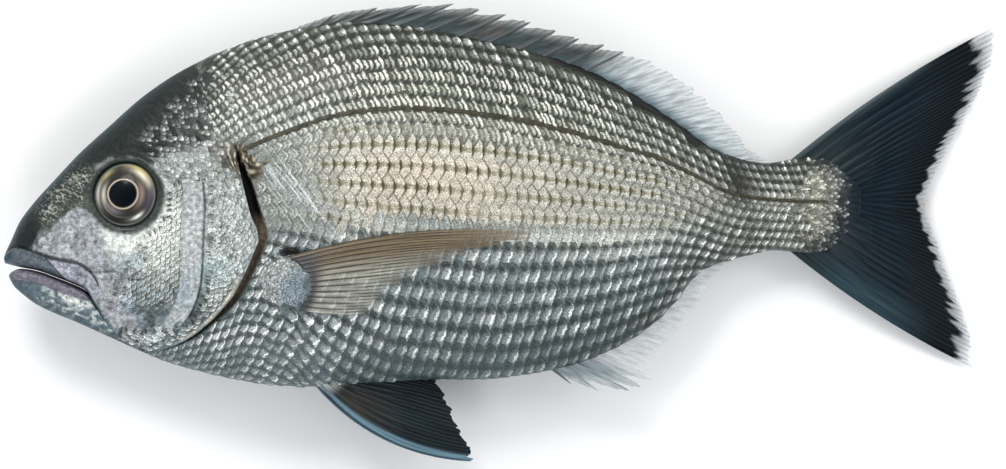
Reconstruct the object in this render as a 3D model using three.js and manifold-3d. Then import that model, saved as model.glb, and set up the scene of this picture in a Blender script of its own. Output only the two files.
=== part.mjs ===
// A whole raw sea bream, lying on its right side with its left side up.
// Lengths are millimetres. The fish is drawn in side view: x runs from the snout tip to the tail,
// y runs from the belly to the back, and z is height above the table.
// The finished group has its origin on the table, under the middle of the fish's box.
import * as THREE from "three";
import { mergeVertices } from "three/addons/utils/BufferGeometryUtils.js";
import Module from "manifold-3d";

const wasm = await Module();
wasm.setup();

// Driving sizes
const TOTAL_LENGTH = 300;
const HALF_WIDTH = 19.8; // from the middle plane to the widest flank
const RESTING_SINK = 1.4; // how far the soft lower flank flattens on the table
const MIDDLE_HEIGHT = HALF_WIDTH - RESTING_SINK;
const TAIL_DROOP = 18.2; // how far the tail hangs below the middle plane
const DROOP_START = 112;
const DROOP_POWER = 1.6;
const WIDEST_SHARE = 0.56; // height of the widest line, from belly 0 to back 1
const BACK_SECTION = { bulge: 1.9, edge: 0.72 }; // how full the section is above the widest line
const BELLY_SECTION = { bulge: 2.3, edge: 0.6 }; // and how full it is below
const BODY_END = 260; // where the flesh ends on the tail fin

// Outlines of the body in side view, [distance from the snout, height above the tail's axis]
const BACK = [
  [0, -17.3], [0.6, -15.6], [1.8, -13.1], [4.6, -6.9], [9.1, -0.8], [13.7, 4.3], [22.8, 14],
  [31.9, 22.3], [41, 30.4], [50.1, 36.9], [59.2, 41.9], [68.3, 45.8], [77.4, 48.9], [86.5, 51.3],
  [98.7, 53.2], [107.8, 53.6], [119.9, 52.7], [132.1, 51], [144.2, 48.4], [156.4, 45.6],
  [168.5, 42.5], [180.7, 37.7], [192.8, 31], [205, 22.8], [214.1, 16.1], [223.2, 12.4],
  [232.3, 11.2], [241.4, 12.6], [249, 12.8], [254.5, 9.6], [260, 3.4],
];
const BELLY = [
  [0, -18.5], [0.6, -20.6], [1.5, -23.4], [2.7, -25.8], [4.6, -27.8], [9.1, -31.3], [13.7, -33.7],
  [22.8, -37.5], [31.9, -41.6], [41, -45.7], [50.1, -49.3], [59.2, -51.9], [68.3, -54],
  [77.4, -55.6], [89.6, -56.6], [101.7, -56.3], [113.9, -55.3], [129, -54.4], [147.3, -54.2],
  [156.4, -53], [165.5, -51.6], [174.6, -49.2], [183.7, -45.5], [192.8, -40.6], [198.9, -35.8],
  [205, -29.2], [210.1, -22.6], [215.6, -19.7], [223.2, -17.5], [232.3, -15.4], [241.4, -16],
  [249, -16], [254.5, -11.8], [260, -4.6],
];
// Half width of the flesh as a share of HALF_WIDTH, [distance from the snout, share]
const WIDTH = [
  [0, 0.1], [2, 0.2], [6, 0.31], [12, 0.42], [22, 0.54], [35, 0.66], [50, 0.8], [65, 0.92],
  [80, 0.985], [98, 1], [120, 0.975], [145, 0.87], [170, 0.71], [195, 0.52], [215, 0.375],
  [232, 0.29], [244, 0.21], [253, 0.13], [260, 0.06],
];

// A smooth curve through [x, y] points: cubic Hermite pieces whose slopes are the chords' weighted means.
function through(points) {
  const slope = points.map((p, i) => {
    const before = points[Math.max(i - 1, 0)];
    const after = points[Math.min(i + 1, points.length - 1)];
    return (after[1] - before[1]) / (after[0] - before[0]);
  });
  return (x) => {
    const last = points.length - 1;
    const at = Math.min(Math.max(x, points[0][0]), points[last][0]);
    let i = 0;
    while (i < last - 1 && at > points[i + 1][0]) i++;
    const [x0, y0] = points[i];
    const [x1, y1] = points[i + 1];
    const span = x1 - x0;
    const t = (at - x0) / span;
    const rise = 1 - t;
    return (
      y0 * (1 + 2 * t) * rise * rise +
      slope[i] * span * t * rise * rise +
      y1 * t * t * (3 - 2 * t) -
      slope[i + 1] * span * t * t * rise
    );
  };
}

const backAt = through(BACK);
const bellyAt = through(BELLY);
const widthAt = through(WIDTH);

function smoothStep(from, to, x) {
  const t = Math.min(Math.max((x - from) / (to - from), 0), 1);
  return t * t * (3 - 2 * t);
}

// Height of the fish's middle plane above the table: level as far as the belly, then drooping to the tail.
function middleAt(x) {
  const behind = Math.max(x - DROOP_START, 0) / (TOTAL_LENGTH - DROOP_START);
  return MIDDLE_HEIGHT - TAIL_DROOP * behind ** DROOP_POWER;
}

// Half thickness of the flesh at a point of the side view: an oval section, sharper at the back.
function thicknessAt(x, y) {
  const back = backAt(x);
  const belly = bellyAt(x);
  const widest = belly + WIDEST_SHARE * (back - belly);
  const up = y > widest;
  const { bulge, edge } = up ? BACK_SECTION : BELLY_SECTION;
  const share = Math.min(Math.abs((y - widest) / (up ? back - widest : widest - belly)), 1);
  return HALF_WIDTH * widthAt(x) * (1 - share ** bulge) ** edge;
}

// Solids from closed meshes, and back
function toSolid(geometry) {
  const bare = new THREE.BufferGeometry();
  bare.setAttribute("position", geometry.getAttribute("position"));
  if (geometry.index) bare.setIndex(geometry.index);
  const merged = mergeVertices(bare, 1e-3);
  const corners = merged.index.array;
  const kept = [];
  for (let i = 0; i < corners.length; i += 3) {
    const [a, b, c] = corners.slice(i, i + 3);
    if (a !== b && b !== c && c !== a) kept.push(a, b, c);
  }
  return new wasm.Manifold(
    new wasm.Mesh({
      numProp: 3,
      vertProperties: merged.attributes.position.array,
      triVerts: new Uint32Array(kept),
    }),
  );
}

function toGeometry(solid) {
  const { vertProperties, triVerts } = solid.getMesh();
  const geometry = new THREE.BufferGeometry();
  geometry.setAttribute("position", new THREE.BufferAttribute(vertProperties, 3));
  geometry.setIndex(new THREE.BufferAttribute(triVerts, 1));
  geometry.computeVertexNormals();
  return geometry;
}

// A closed solid from two facing sheets, joined along their edges. place(u, v, side) gives the point of
// the left sheet (side 1) or the right one (side -1), with u and v from 0 to 1.
function thickSheet(us, vs, place) {
  const rows = us.length;
  const columns = vs.length;
  const position = [];
  const index = [];
  for (const side of [1, -1])
    for (const u of us) for (const v of vs) position.push(...place(u, v, side).toArray());
  const at = (i, j, side) => (side > 0 ? 0 : rows * columns) + i * columns + j;
  const quad = (a, b, c, d) => index.push(a, b, c, a, c, d);
  for (let i = 0; i + 1 < rows; i++)
    for (let j = 0; j + 1 < columns; j++) {
      quad(at(i, j, 1), at(i + 1, j, 1), at(i + 1, j + 1, 1), at(i, j + 1, 1));
      quad(at(i, j, -1), at(i, j + 1, -1), at(i + 1, j + 1, -1), at(i + 1, j, -1));
    }
  for (let i = 0; i + 1 < rows; i++) {
    const end = columns - 1;
    quad(at(i, 0, -1), at(i + 1, 0, -1), at(i + 1, 0, 1), at(i, 0, 1));
    quad(at(i, end, 1), at(i + 1, end, 1), at(i + 1, end, -1), at(i, end, -1));
  }
  for (let j = 0; j + 1 < columns; j++) {
    const end = rows - 1;
    quad(at(0, j, 1), at(0, j + 1, 1), at(0, j + 1, -1), at(0, j, -1));
    quad(at(end, j, -1), at(end, j + 1, -1), at(end, j + 1, 1), at(end, j, 1));
  }
  const geometry = new THREE.BufferGeometry();
  geometry.setAttribute("position", new THREE.Float32BufferAttribute(position, 3));
  geometry.setIndex(index);
  const made = toSolid(geometry);
  return made.volume() > 0 ? made : toSolid(reversed(geometry));
}

function reversed(geometry) {
  const turned = geometry.clone();
  turned.setIndex([...geometry.index.array].reverse());
  return turned;
}

function evenSteps(count) {
  return Array.from({ length: count + 1 }, (_, i) => i / count);
}

// The flesh, or with a rise, a skin that stands that far proud of it. Its stations crowd towards the snout.
const STATIONS = 52;
const RING_STEPS = 16;
const CROWDING = 0.35;
const CROWDING_POWER = 2.2;
const RISE_FADE = 4; // how soon a rise reaches its full height away from the outline
function flesh(rise = () => 0) {
  const us = evenSteps(STATIONS);
  const vs = evenSteps(RING_STEPS);
  return thickSheet(us, vs, (u, v, side) => {
    const x = BODY_END * (CROWDING * u ** CROWDING_POWER + (1 - CROWDING) * u);
    const back = backAt(x);
    const belly = bellyAt(x);
    const widest = belly + WIDEST_SHARE * (back - belly);
    const swing = Math.cos(Math.PI * v);
    const y = widest + swing * (swing > 0 ? back - widest : widest - belly);
    const edge = Math.sin(Math.PI * v);
    const half = thicknessAt(x, y) + rise(x, y) * Math.min(edge * RISE_FADE, 1);
    return new THREE.Vector3(x, y, middleAt(x) + side * Math.max(half, 0));
  });
}

// A column that stands on a closed outline of the side view and runs through the whole fish
const COLUMN_HEIGHT = 80;
function column(outline) {
  const shape = new THREE.Shape(outline.map(([x, y]) => new THREE.Vector2(x, y)));
  const geometry = new THREE.ExtrudeGeometry(shape, { depth: COLUMN_HEIGHT, bevelEnabled: false });
  geometry.translate(0, 0, MIDDLE_HEIGHT - COLUMN_HEIGHT / 2);
  const made = toSolid(geometry);
  return made.volume() > 0 ? made : toSolid(reversed(mergeVertices(geometry)));
}

// A plate of bone or lip inside an outline, proud of the flesh by rise(x, y), on both sides
function plate(outline, rise) {
  return flesh(rise).intersect(column(outline));
}

// Gill cover: it rises from the cheek to a free edge over the gill slit.
const GILL_EDGE = [
  [70.1, 14.6], [73.2, 8.2], [76, 1.8], [77.9, -5.2], [78, -9.4], [75.9, -16], [72.6, -22.6],
  [68.6, -29.2], [62.9, -36], [57, -41.4], [49.8, -44.8], [43, -45.6],
];
const GILL_COVER = [...GILL_EDGE, [43, -30], [43, 0], [52, 14], [62, 17.4]];
const GILL_RISE = 1.7;
const COVER_FRONT = 48;
const COVER_REAR = 76;
const TUCK = 0.05; // how far a plate's front edge stays under the flesh
// Front bone of the cover: its rear edge is a low step in front of the gill edge.
const CHEEK_PLATE = [
  [60.8, 6], [61.2, -4], [60.9, -14], [60.3, -24], [57.6, -32], [51.5, -37.6], [43.5, -40.2],
  [34, -39.4], [30, -34], [38, -10], [50, 4],
];
const CHEEK_RISE = 0.7;
const CHEEK_FRONT = 34;
const CHEEK_REAR = 58;
// Upper lip with the jaw bone behind it, and the lower lip
const UPPER_LIP = [
  [-1, -16.5], [3, -14.2], [8, -15.6], [13, -17.2], [18, -18.4], [22.8, -19.6], [26.5, -22],
  [27.9, -24.2], [26.6, -26.2], [23.6, -26.9], [18.2, -24.6], [11.6, -21.9], [5, -20.9], [-1, -19.6],
];
const UPPER_LIP_RISE = 0.9;
const LOWER_LIP_RISE = 0.6;
const LOWER_LIP = [
  [-1, -21.4], [5, -21.4], [11.6, -22.6], [18.2, -25.4], [23, -27.8], [22, -29.6], [16, -28.4],
  [9, -26.4], [3.6, -26.2], [-1, -26],
];
// The slit between the jaws
const MOUTH = [
  [-2, -19.8], [4.4, -20.6], [11.6, -21.8], [18.2, -24.6], [24.2, -27.2], [18.2, -25.3],
  [11.6, -22.5], [4.4, -21.4], [-2, -21.2],
];
// The slit behind the gill cover, widest at its upper end
const GILL_SLIT = [
  [71, 15.4], [72.6, 13.4], [75.4, 7.6], [78, 1.4], [79.6, -5], [79.4, -9.6], [77, -16.8],
  [73.6, -23.2], [69.6, -29.6], [68.8, -29.2], [72.4, -22.8], [75.6, -16.2], [77.6, -9.6],
  [77.6, -5.2], [75.8, 1.6], [73, 8], [70.4, 13.6],
];
const SLIT_DEPTH = 2.6;

// Fleshy root of the breast fin
const FIN_ROOT = { x: 86.5, y: -25.6, length: 9.4, height: 8.6, rise: 2, top: 0.55 };
function rootRise(x, y) {
  const away = Math.hypot((x - FIN_ROOT.x) / FIN_ROOT.length, (y - FIN_ROOT.y) / FIN_ROOT.height);
  return FIN_ROOT.rise * (1 - smoothStep(FIN_ROOT.top, 1, away));
}

// Eyes
const EYE = { x: 37, y: 1.5, radius: 10.4, depth: 6, sunk: 3.1, gap: 0.35 };
const EYE_SIDES = 20;
const EYE_RINGS = 12;
function eyeBall(side, grow) {
  const geometry = new THREE.SphereGeometry(1, EYE_SIDES, EYE_RINGS);
  geometry.rotateX(Math.PI / 2);
  geometry.scale(EYE.radius + grow, EYE.radius + grow, EYE.depth + grow);
  const step = 3;
  const half = thicknessAt(EYE.x, EYE.y);
  const leanX = (thicknessAt(EYE.x + step, EYE.y) - thicknessAt(EYE.x - step, EYE.y)) / (2 * step);
  const leanY = (thicknessAt(EYE.x, EYE.y + step) - thicknessAt(EYE.x, EYE.y - step)) / (2 * step);
  const outwards = new THREE.Vector3(-leanX, -leanY, side).normalize();
  const turn = new THREE.Quaternion().setFromUnitVectors(new THREE.Vector3(0, 0, 1), outwards);
  geometry.applyQuaternion(turn);
  const middle = new THREE.Vector3(EYE.x, EYE.y, middleAt(EYE.x) + side * half);
  middle.addScaledVector(outwards, -EYE.sunk);
  geometry.translate(middle.x, middle.y, middle.z);
  return toSolid(geometry);
}

// A fin is a fan of rays from a base line to a margin. Both lines are read at the same share u, and v
// runs out along a ray. The sheet is thick on the rays and thin between them, and notch shortens it there.
// A bulge bows the outer rays, and lift gives the height of the sheet above the table.
const WEB_THINNESS = 0.62;
const TIP_THINNING = 0.55;
function line(points) {
  const curve = new THREE.CatmullRomCurve3(
    points.map(([x, y]) => new THREE.Vector3(x, y, 0)),
    false,
    "centripetal",
  );
  return (u) => curve.getPoint(u);
}

function fin({ base, margin, rays, steps, thick, notch, bulge = 0, lift }) {
  const baseAt = line(base);
  const marginAt = line(margin);
  const us = evenSteps(2 * rays);
  const vs = evenSteps(steps);
  return thickSheet(us, vs, (u, v, side) => {
    const onRay = Math.round(u * 2 * rays) % 2 === 0;
    const from = baseAt(u);
    const to = marginAt(u);
    const reach = onRay ? v : v * (1 - notch(u));
    const at = from.clone().lerp(to, reach);
    const across = new THREE.Vector2(to.y - from.y, from.x - to.x).multiplyScalar(bulge);
    at.x += across.x * 4 * reach * (1 - reach) * (2 * u - 1);
    at.y += across.y * 4 * reach * (1 - reach) * (2 * u - 1);
    const half = thick * (onRay ? 1 : WEB_THINNESS) * (1 - TIP_THINNING * v);
    at.z = lift(at.x, at.y, v) + side * half;
    return at;
  });
}

const TAIL_FIN = {
  base: [[234, 11], [242, 10], [247.5, 5.5], [249.5, 0], [247.5, -6.5], [242, -13], [234, -15]],
  margin: [
    [300, 51.6], [297.4, 42], [292.6, 32], [287.6, 23.4], [282.4, 14.6], [278.6, 6.6], [276.6, -0.4],
    [278.4, -8], [282, -16.6], [286, -26], [289.4, -35], [292, -43], [293.6, -50.3],
  ],
  rays: 14,
  steps: 8,
  thick: 0.95,
  notch: () => 0.02,
  bulge: 0.03,
  lift: (x) => middleAt(x),
};

const FIN_SAG = 0.06; // how far a fin leans towards the table, for each millimetre of its height
const DORSAL_FIN = {
  base: [
    [88, 49.6], [98.7, 50.8], [110, 51.2], [122, 50], [134, 48.2], [146, 45.4], [158, 42.6],
    [170, 39.4], [182, 34.4], [194, 27.4], [206, 19.4], [215, 12.8], [223, 9.6],
  ],
  margin: [
    [92, 52.9], [110, 57.9], [126.9, 59.5], [139, 59], [150, 56.8], [160.6, 53.6], [171, 50.2],
    [182, 46.7], [193, 41.8], [203, 35.4], [213, 26.8], [221.7, 18.4], [227, 12.6],
  ],
  rays: 18,
  steps: 4,
  thick: 0.75,
  notch: (u) => (u < 0.52 ? 0.3 : 0.05),
  lift: (x, y) => middleAt(x) - FIN_SAG * Math.max(y - backAt(x), 0),
};

const ANAL_FIN = {
  base: [[165, -50], [172, -48.4], [180, -45.2], [189, -40.6], [197, -34.8], [204, -27.6], [210, -20.4]],
  margin: [
    [171.9, -55.6], [189.2, -57.4], [193, -53.2], [196.6, -47], [203, -40.4], [209, -32.6], [215.6, -21.4],
  ],
  rays: 11,
  steps: 4,
  thick: 0.75,
  notch: (u) => (u < 0.3 ? 0.3 : 0.08),
  lift: (x, y) => middleAt(x) - FIN_SAG * Math.max(bellyAt(x) - y, 0),
};

const PELVIC_SPREAD = 1.9; // half the distance between the two folded belly fins
const PELVIC_DROOP = 5; // how far their tips hang below the middle plane
function pelvicFin(side) {
  const peek = side > 0 ? 0 : 1; // the lower fin shows a little past the upper one's front edge
  return {
    base: [[94 + peek, -54.4 - peek], [98, -54.6], [102, -54.2], [106, -53.6]],
    margin: [
      [141.8 - peek, -78.8 - 0.8 * peek], [140.6, -74], [138.4, -68.4], [134.8, -61], [130, -55.4],
    ],
    rays: 6,
    steps: 7,
    thick: 0.8,
    notch: () => 0.04,
    bulge: -0.1,
    lift: (x, y, v) => middleAt(x) + side * PELVIC_SPREAD * (1 - 0.3 * v) - PELVIC_DROOP * v ** 1.5,
  };
}

const PECTORAL_LIFT = 0.7;
function pectoralFin(side) {
  return {
    base: [[86.5, -17.2], [89.4, -19.6], [91.6, -24], [91.6, -29], [89.6, -33.6]],
    margin: [
      [158.8, -9.4], [150.4, -13.2], [139.4, -16.4], [129, -22], [121.8, -26.8], [117.8, -30.2],
      [115, -33.7],
    ],
    rays: 9,
    steps: 8,
    thick: 0.75,
    notch: () => 0.03,
    bulge: 0.05,
    lift: (x, y, v) => middleAt(x) + side * (thicknessAt(x, y) + PECTORAL_LIFT + 0.5 * v),
  };
}

// What would lie under the table is pressed flat against it.
function roomAboveTable() {
  const room = new THREE.BoxGeometry(2 * TOTAL_LENGTH, TOTAL_LENGTH, TOTAL_LENGTH);
  room.translate(TOTAL_LENGTH / 2, 0, TOTAL_LENGTH / 2);
  return toSolid(room);
}

// The fish as one solid
const SLIVER = 0.03; // edges shorter than this are merged away
function wholeFish() {
  const coverRise = (x) => GILL_RISE * smoothStep(COVER_FRONT, COVER_REAR, x) - TUCK;
  const cheekRise = (x) => coverRise(x) + CHEEK_RISE * smoothStep(CHEEK_FRONT, CHEEK_REAR, x);
  let body = flesh(rootRise);
  body = body.add(plate(GILL_COVER, coverRise));
  body = body.add(plate(CHEEK_PLATE, cheekRise));
  body = body.add(plate(UPPER_LIP, () => UPPER_LIP_RISE));
  body = body.add(plate(LOWER_LIP, () => LOWER_LIP_RISE));
  body = body.subtract(column(MOUTH));
  body = body.subtract(column(GILL_SLIT).subtract(flesh(() => -SLIT_DEPTH)));
  for (const side of [1, -1]) body = body.subtract(eyeBall(side, EYE.gap));
  for (const shape of [TAIL_FIN, DORSAL_FIN, ANAL_FIN]) body = body.add(fin(shape));
  for (const side of [1, -1]) body = body.add(fin(pelvicFin(side))).add(fin(pectoralFin(side)));
  body = body.intersect(roomAboveTable());
  const [largest] = body.decompose().sort((a, b) => b.volume() - a.volume());
  return largest.simplify(SLIVER);
}

const skin = new THREE.MeshStandardMaterial({ color: 0x9aa09b, roughness: 0.32, metalness: 0.35 });
const eyeGloss = new THREE.MeshStandardMaterial({ color: 0x2b2a24, roughness: 0.08, metalness: 0.1 });

function named(name, solid, material) {
  const mesh = new THREE.Mesh(toGeometry(solid), material);
  mesh.name = name;
  return mesh;
}

const group = new THREE.Group();
group.add(named("fish", wholeFish(), skin));
group.add(named("eye_left", eyeBall(1, 0), eyeGloss));
group.add(named("eye_right", eyeBall(-1, 0), eyeGloss));

const box = new THREE.Box3().setFromObject(group);
group.position.set(-(box.min.x + box.max.x) / 2, -(box.min.y + box.max.y) / 2, -box.min.z);

export default group;
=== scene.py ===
# %% [markdown]
# # A whole raw sea bream
#
# This lesson dresses a plain measured model of a fish. The fish is 300 mm long and lies on its right
# side on a pale table, and we look straight down on its left flank. The measured model is three closed
# solids: the fish and its two eyes. Blender adds what a real bream shows: skin with jaws and gill
# covers, rows of overlapping scales, ribbed fins and wet eyes.
#
# Nearly every shape below is a surface worked out from two parameters with numpy. A side view of the
# fish gives x, the distance behind the snout, and y, the height above the tail's axis, both in
# millimetres. A third number, the half thickness, says how far the flesh reaches from the middle plane.

import bpy
import numpy as np
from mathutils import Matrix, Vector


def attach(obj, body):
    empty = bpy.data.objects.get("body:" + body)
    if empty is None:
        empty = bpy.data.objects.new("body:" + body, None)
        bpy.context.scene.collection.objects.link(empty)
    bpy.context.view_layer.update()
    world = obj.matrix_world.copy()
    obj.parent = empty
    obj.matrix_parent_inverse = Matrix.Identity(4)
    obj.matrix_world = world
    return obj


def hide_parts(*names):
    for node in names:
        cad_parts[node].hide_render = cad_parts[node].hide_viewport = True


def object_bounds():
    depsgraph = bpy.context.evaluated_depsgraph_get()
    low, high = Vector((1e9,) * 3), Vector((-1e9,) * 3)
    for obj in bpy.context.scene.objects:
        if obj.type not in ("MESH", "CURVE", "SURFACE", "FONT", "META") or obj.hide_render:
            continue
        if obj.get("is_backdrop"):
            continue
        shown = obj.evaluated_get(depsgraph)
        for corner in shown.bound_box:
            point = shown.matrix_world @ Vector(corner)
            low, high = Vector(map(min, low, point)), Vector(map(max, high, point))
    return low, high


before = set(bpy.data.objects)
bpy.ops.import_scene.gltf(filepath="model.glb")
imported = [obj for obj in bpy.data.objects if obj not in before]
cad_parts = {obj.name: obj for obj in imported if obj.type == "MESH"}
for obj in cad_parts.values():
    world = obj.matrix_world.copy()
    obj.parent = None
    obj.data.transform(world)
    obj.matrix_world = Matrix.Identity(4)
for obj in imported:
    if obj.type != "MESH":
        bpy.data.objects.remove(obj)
cad_low, cad_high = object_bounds()
print("measured box", [round(v, 4) for v in (*cad_low, *cad_high)])

# %% [markdown]
# ## The camera
#
# The picture was taken from straight above the flank, far enough away that the outline hardly shows
# perspective. A long lens on a high camera gives the same flat look. The picture is 1006 pixels wide and
# the fish fills 988 of them, which at 300 mm makes the frame's width below.

# %% Camera above the flank
MM = 0.001
FISH_LENGTH = 300.0
FRAME_WIDTH = 305.4
FRAME_SHIFT = (1.2, -0.5)
LENS = 500.0
SENSOR = 36.0
FOCUS_HEIGHT = 12.0

camera_data = bpy.data.cameras.new("camera")
camera_data.lens = LENS
camera_data.sensor_width = SENSOR
camera_data.clip_end = 50.0
camera = bpy.data.objects.new("camera", camera_data)
bpy.context.scene.collection.objects.link(camera)
camera_height = FRAME_WIDTH * LENS / SENSOR + FOCUS_HEIGHT
camera.location = (FRAME_SHIFT[0] * MM, FRAME_SHIFT[1] * MM, camera_height * MM)
bpy.context.scene.camera = camera
print("camera height in metres", round(camera.location.z, 3))

# %% [markdown]
# ## Finishes as node trees
#
# Each finish is a small node tree. It could be wired by hand in the shader editor, but the scales alone
# need over a hundred boxes. So small helpers add a node, a sum, a colour mix, noise or a bump. A constant
# goes straight into a socket, and a socket given as a value is linked.

# %% Node helpers
def new_finish(name):
    """An empty node material with its Principled shader: gives (material, tree, shader)."""
    made = bpy.data.materials.new(name)
    made.use_nodes = True
    return made, made.node_tree, made.node_tree.nodes["Principled BSDF"]


def feed(tree, socket, value):
    """Links a socket to another, or sets its constant."""
    if isinstance(value, bpy.types.NodeSocket):
        tree.links.new(value, socket)
    elif hasattr(socket.default_value, "__len__") and hasattr(value, "__len__"):
        wanted = len(socket.default_value)
        socket.default_value = (*value, 1.0)[:wanted]
    else:
        socket.default_value = value


def node(tree, kind, inputs=None, **settings):
    """A node of a kind, with its settings and its inputs by name or number."""
    made = tree.nodes.new(kind)
    for key, value in settings.items():
        setattr(made, key, value)
    for key, value in (inputs or {}).items():
        feed(tree, made.inputs[key], value)
    return made


def calc(tree, operation, *values, clamp=False):
    """A Math node's result."""
    made = node(tree, "ShaderNodeMath", dict(enumerate(values)), operation=operation)
    made.use_clamp = clamp
    return made.outputs[0]


def scaled(tree, value, factor, offset=0.0):
    """A value times a factor, plus an offset."""
    return calc(tree, "MULTIPLY_ADD", value, factor, offset)


def mixed(tree, factor, first, second, mode="MIX"):
    """A colour mix's result."""
    made = node(tree, "ShaderNodeMix", data_type="RGBA", blend_type=mode)
    feed(tree, made.inputs[0], factor)
    feed(tree, made.inputs[6], first)
    feed(tree, made.inputs[7], second)
    return made.outputs[2]


def step(tree, value, start, end):
    """A smooth step of a socket's value from start to end."""
    made = node(tree, "ShaderNodeMapRange", {0: value, 1: start, 2: end}, interpolation_type="SMOOTHSTEP")
    return made.outputs[0]


def speckle(tree, size, detail=3.0, vector=None, stretch=(1, 1, 1)):
    """Noise in object space with features of about the given size in millimetres, as a value."""
    if vector is None:
        vector = node(tree, "ShaderNodeTexCoord").outputs["Object"]
    place = node(tree, "ShaderNodeMapping", {"Vector": vector, "Scale": stretch}).outputs[0]
    made = node(tree, "ShaderNodeTexNoise", {"Vector": place, "Scale": 1 / (size * MM), "Detail": detail})
    return made.outputs[0]


def attribute(tree, name):
    """A named attribute's colour and alpha."""
    made = node(tree, "ShaderNodeAttribute", attribute_name=name)
    return made.outputs["Color"], made.outputs["Alpha"]


def channels(tree, colour):
    """A colour's red, green and blue values."""
    made = node(tree, "ShaderNodeSeparateColor", {0: colour})
    return made.outputs[0], made.outputs[1], made.outputs[2]


def shaded(tree, colour, amount, mask, dark, light):
    """A colour multiplied by a tone that runs from dark to light with a mask."""
    return mixed(tree, amount, colour, mixed(tree, mask, dark, light), "MULTIPLY")


def bumpy(tree, height, strength, distance):
    """The normal of a surface with a varying height, from a Bump node."""
    inputs = {"Height": height, "Strength": strength, "Distance": distance}
    return node(tree, "ShaderNodeBump", inputs).outputs[0]


def surface(tree, shader, sockets):
    """Feeds the shader's sockets by name."""
    for name, value in sockets.items():
        feed(tree, shader.inputs[name], value)


def dress(piece, finish, slot, *replaced):
    """Gives a piece its finish and its body, and hides the measured nodes that it stands for. The slot is
    not used.
    """
    piece.data.materials.append(finish)
    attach(piece, "root")
    if replaced:
        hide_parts(*replaced)
    print(piece.name, len(piece.data.polygons), "faces")
    return piece

# %% [markdown]
# ## Table and light
#
# A fish is a dark, wet mirror. A world that is dimmer overhead than at its walls keeps the flat black
# fins deep, while every tilted scale still catches light. Three broad lamps add direction, and none of
# them is strong, because the flank should fall off softly towards the back and the belly.

# %% Table, lamps and world
scene = bpy.context.scene
scene.view_settings.view_transform = "Standard"
scene.view_settings.look = "None"

TABLE_SIZE = 6.0
table_mesh = bpy.data.meshes.new("table")
half = TABLE_SIZE / 2
table_mesh.from_pydata(
    [(-half, -half, 0), (half, -half, 0), (half, half, 0), (-half, half, 0)], [], [(0, 1, 2, 3)]
)
table = bpy.data.objects.new("table", table_mesh)
table.location.z = -0.0004
scene.collection.objects.link(table)
table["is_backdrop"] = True
table_finish, table_tree, table_shader = new_finish("table")
surface(table_tree, table_shader, {"Base Color": (0.93, 0.935, 0.94), "Roughness": 0.9})
table_mesh.materials.append(table_finish)

world = bpy.data.worlds.new("soft studio")
world.use_nodes = True
world.node_tree.nodes["Background"].inputs["Color"].default_value = (0.96, 0.98, 1.0, 1)
scene.world = world

OVERHEAD, WALLS = 0.42, 0.56
sky = world.node_tree
direction = node(sky, "ShaderNodeTexCoord").outputs["Generated"]
upward = node(sky, "ShaderNodeSeparateXYZ", {0: direction}).outputs[2]
walls = scaled(sky, step(sky, upward, 0.02, 0.35), step(sky, upward, 0.96, 0.66))
feed(sky, sky.nodes["Background"].inputs["Strength"], scaled(sky, walls, WALLS, OVERHEAD))


def lamp(name, place, size, power, colour=(1, 1, 1)):
    """A square area lamp at a place, turned so that it faces the middle of the fish."""
    data = bpy.data.lights.new(name, "AREA")
    data.size = size
    data.energy = power
    data.color = colour
    made = bpy.data.objects.new(name, data)
    made.location = place
    towards = -made.location
    made.rotation_euler = towards.to_track_quat("-Z", "Y").to_euler()
    scene.collection.objects.link(made)
    return made


lamp("key lamp", (-0.45, 0.9, 0.8), 0.45, 9.0, (1.0, 0.99, 0.96))
lamp("side lamp", (1.0, 0.3, 0.7), 0.4, 3.0)
lamp("low lamp", (-0.3, -1.0, 0.7), 0.5, 4.0, (0.95, 0.98, 1.0))

# %% [markdown]
# ## The outline and the thickness
#
# These are the same points and formulas that the measured model is made from. A smooth curve runs
# through each list, and the section at any station is an oval whose widest line lies a little above
# the middle. The middle plane is level under the belly and droops to the table at the tail.

# %% Curves through the measured points
HALF_WIDTH = 19.8
MIDDLE_HEIGHT = 18.4
TAIL_DROOP = 18.2
DROOP_START = 112.0
DROOP_POWER = 1.6
WIDEST_SHARE = 0.56
BACK_BULGE, BACK_EDGE = 1.9, 0.72
BELLY_BULGE, BELLY_EDGE = 2.3, 0.6
TAIL_AXIS = 0.01005

BACK = [
    (0, -17.3), (0.6, -15.6), (1.8, -13.1), (4.6, -6.9), (9.1, -0.8), (13.7, 4.3), (22.8, 14),
    (31.9, 22.3), (41, 30.4), (50.1, 36.9), (59.2, 41.9), (68.3, 45.8), (77.4, 48.9), (86.5, 51.3),
    (98.7, 53.2), (107.8, 53.6), (119.9, 52.7), (132.1, 51), (144.2, 48.4), (156.4, 45.6),
    (168.5, 42.5), (180.7, 37.7), (192.8, 31), (205, 22.8), (214.1, 16.1), (223.2, 12.4),
    (232.3, 11.2), (241.4, 12.6), (249, 12.8), (254.5, 9.6), (260, 3.4),
]
BELLY = [
    (0, -18.5), (0.6, -20.6), (1.5, -23.4), (2.7, -25.8), (4.6, -27.8), (9.1, -31.3), (13.7, -33.7),
    (22.8, -37.5), (31.9, -41.6), (41, -45.7), (50.1, -49.3), (59.2, -51.9), (68.3, -54),
    (77.4, -55.6), (89.6, -56.6), (101.7, -56.3), (113.9, -55.3), (129, -54.4), (147.3, -54.2),
    (156.4, -53), (165.5, -51.6), (174.6, -49.2), (183.7, -45.5), (192.8, -40.6), (198.9, -35.8),
    (205, -29.2), (210.1, -22.6), (215.6, -19.7), (223.2, -17.5), (232.3, -15.4), (241.4, -16),
    (249, -16), (254.5, -11.8), (260, -4.6),
]
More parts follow.
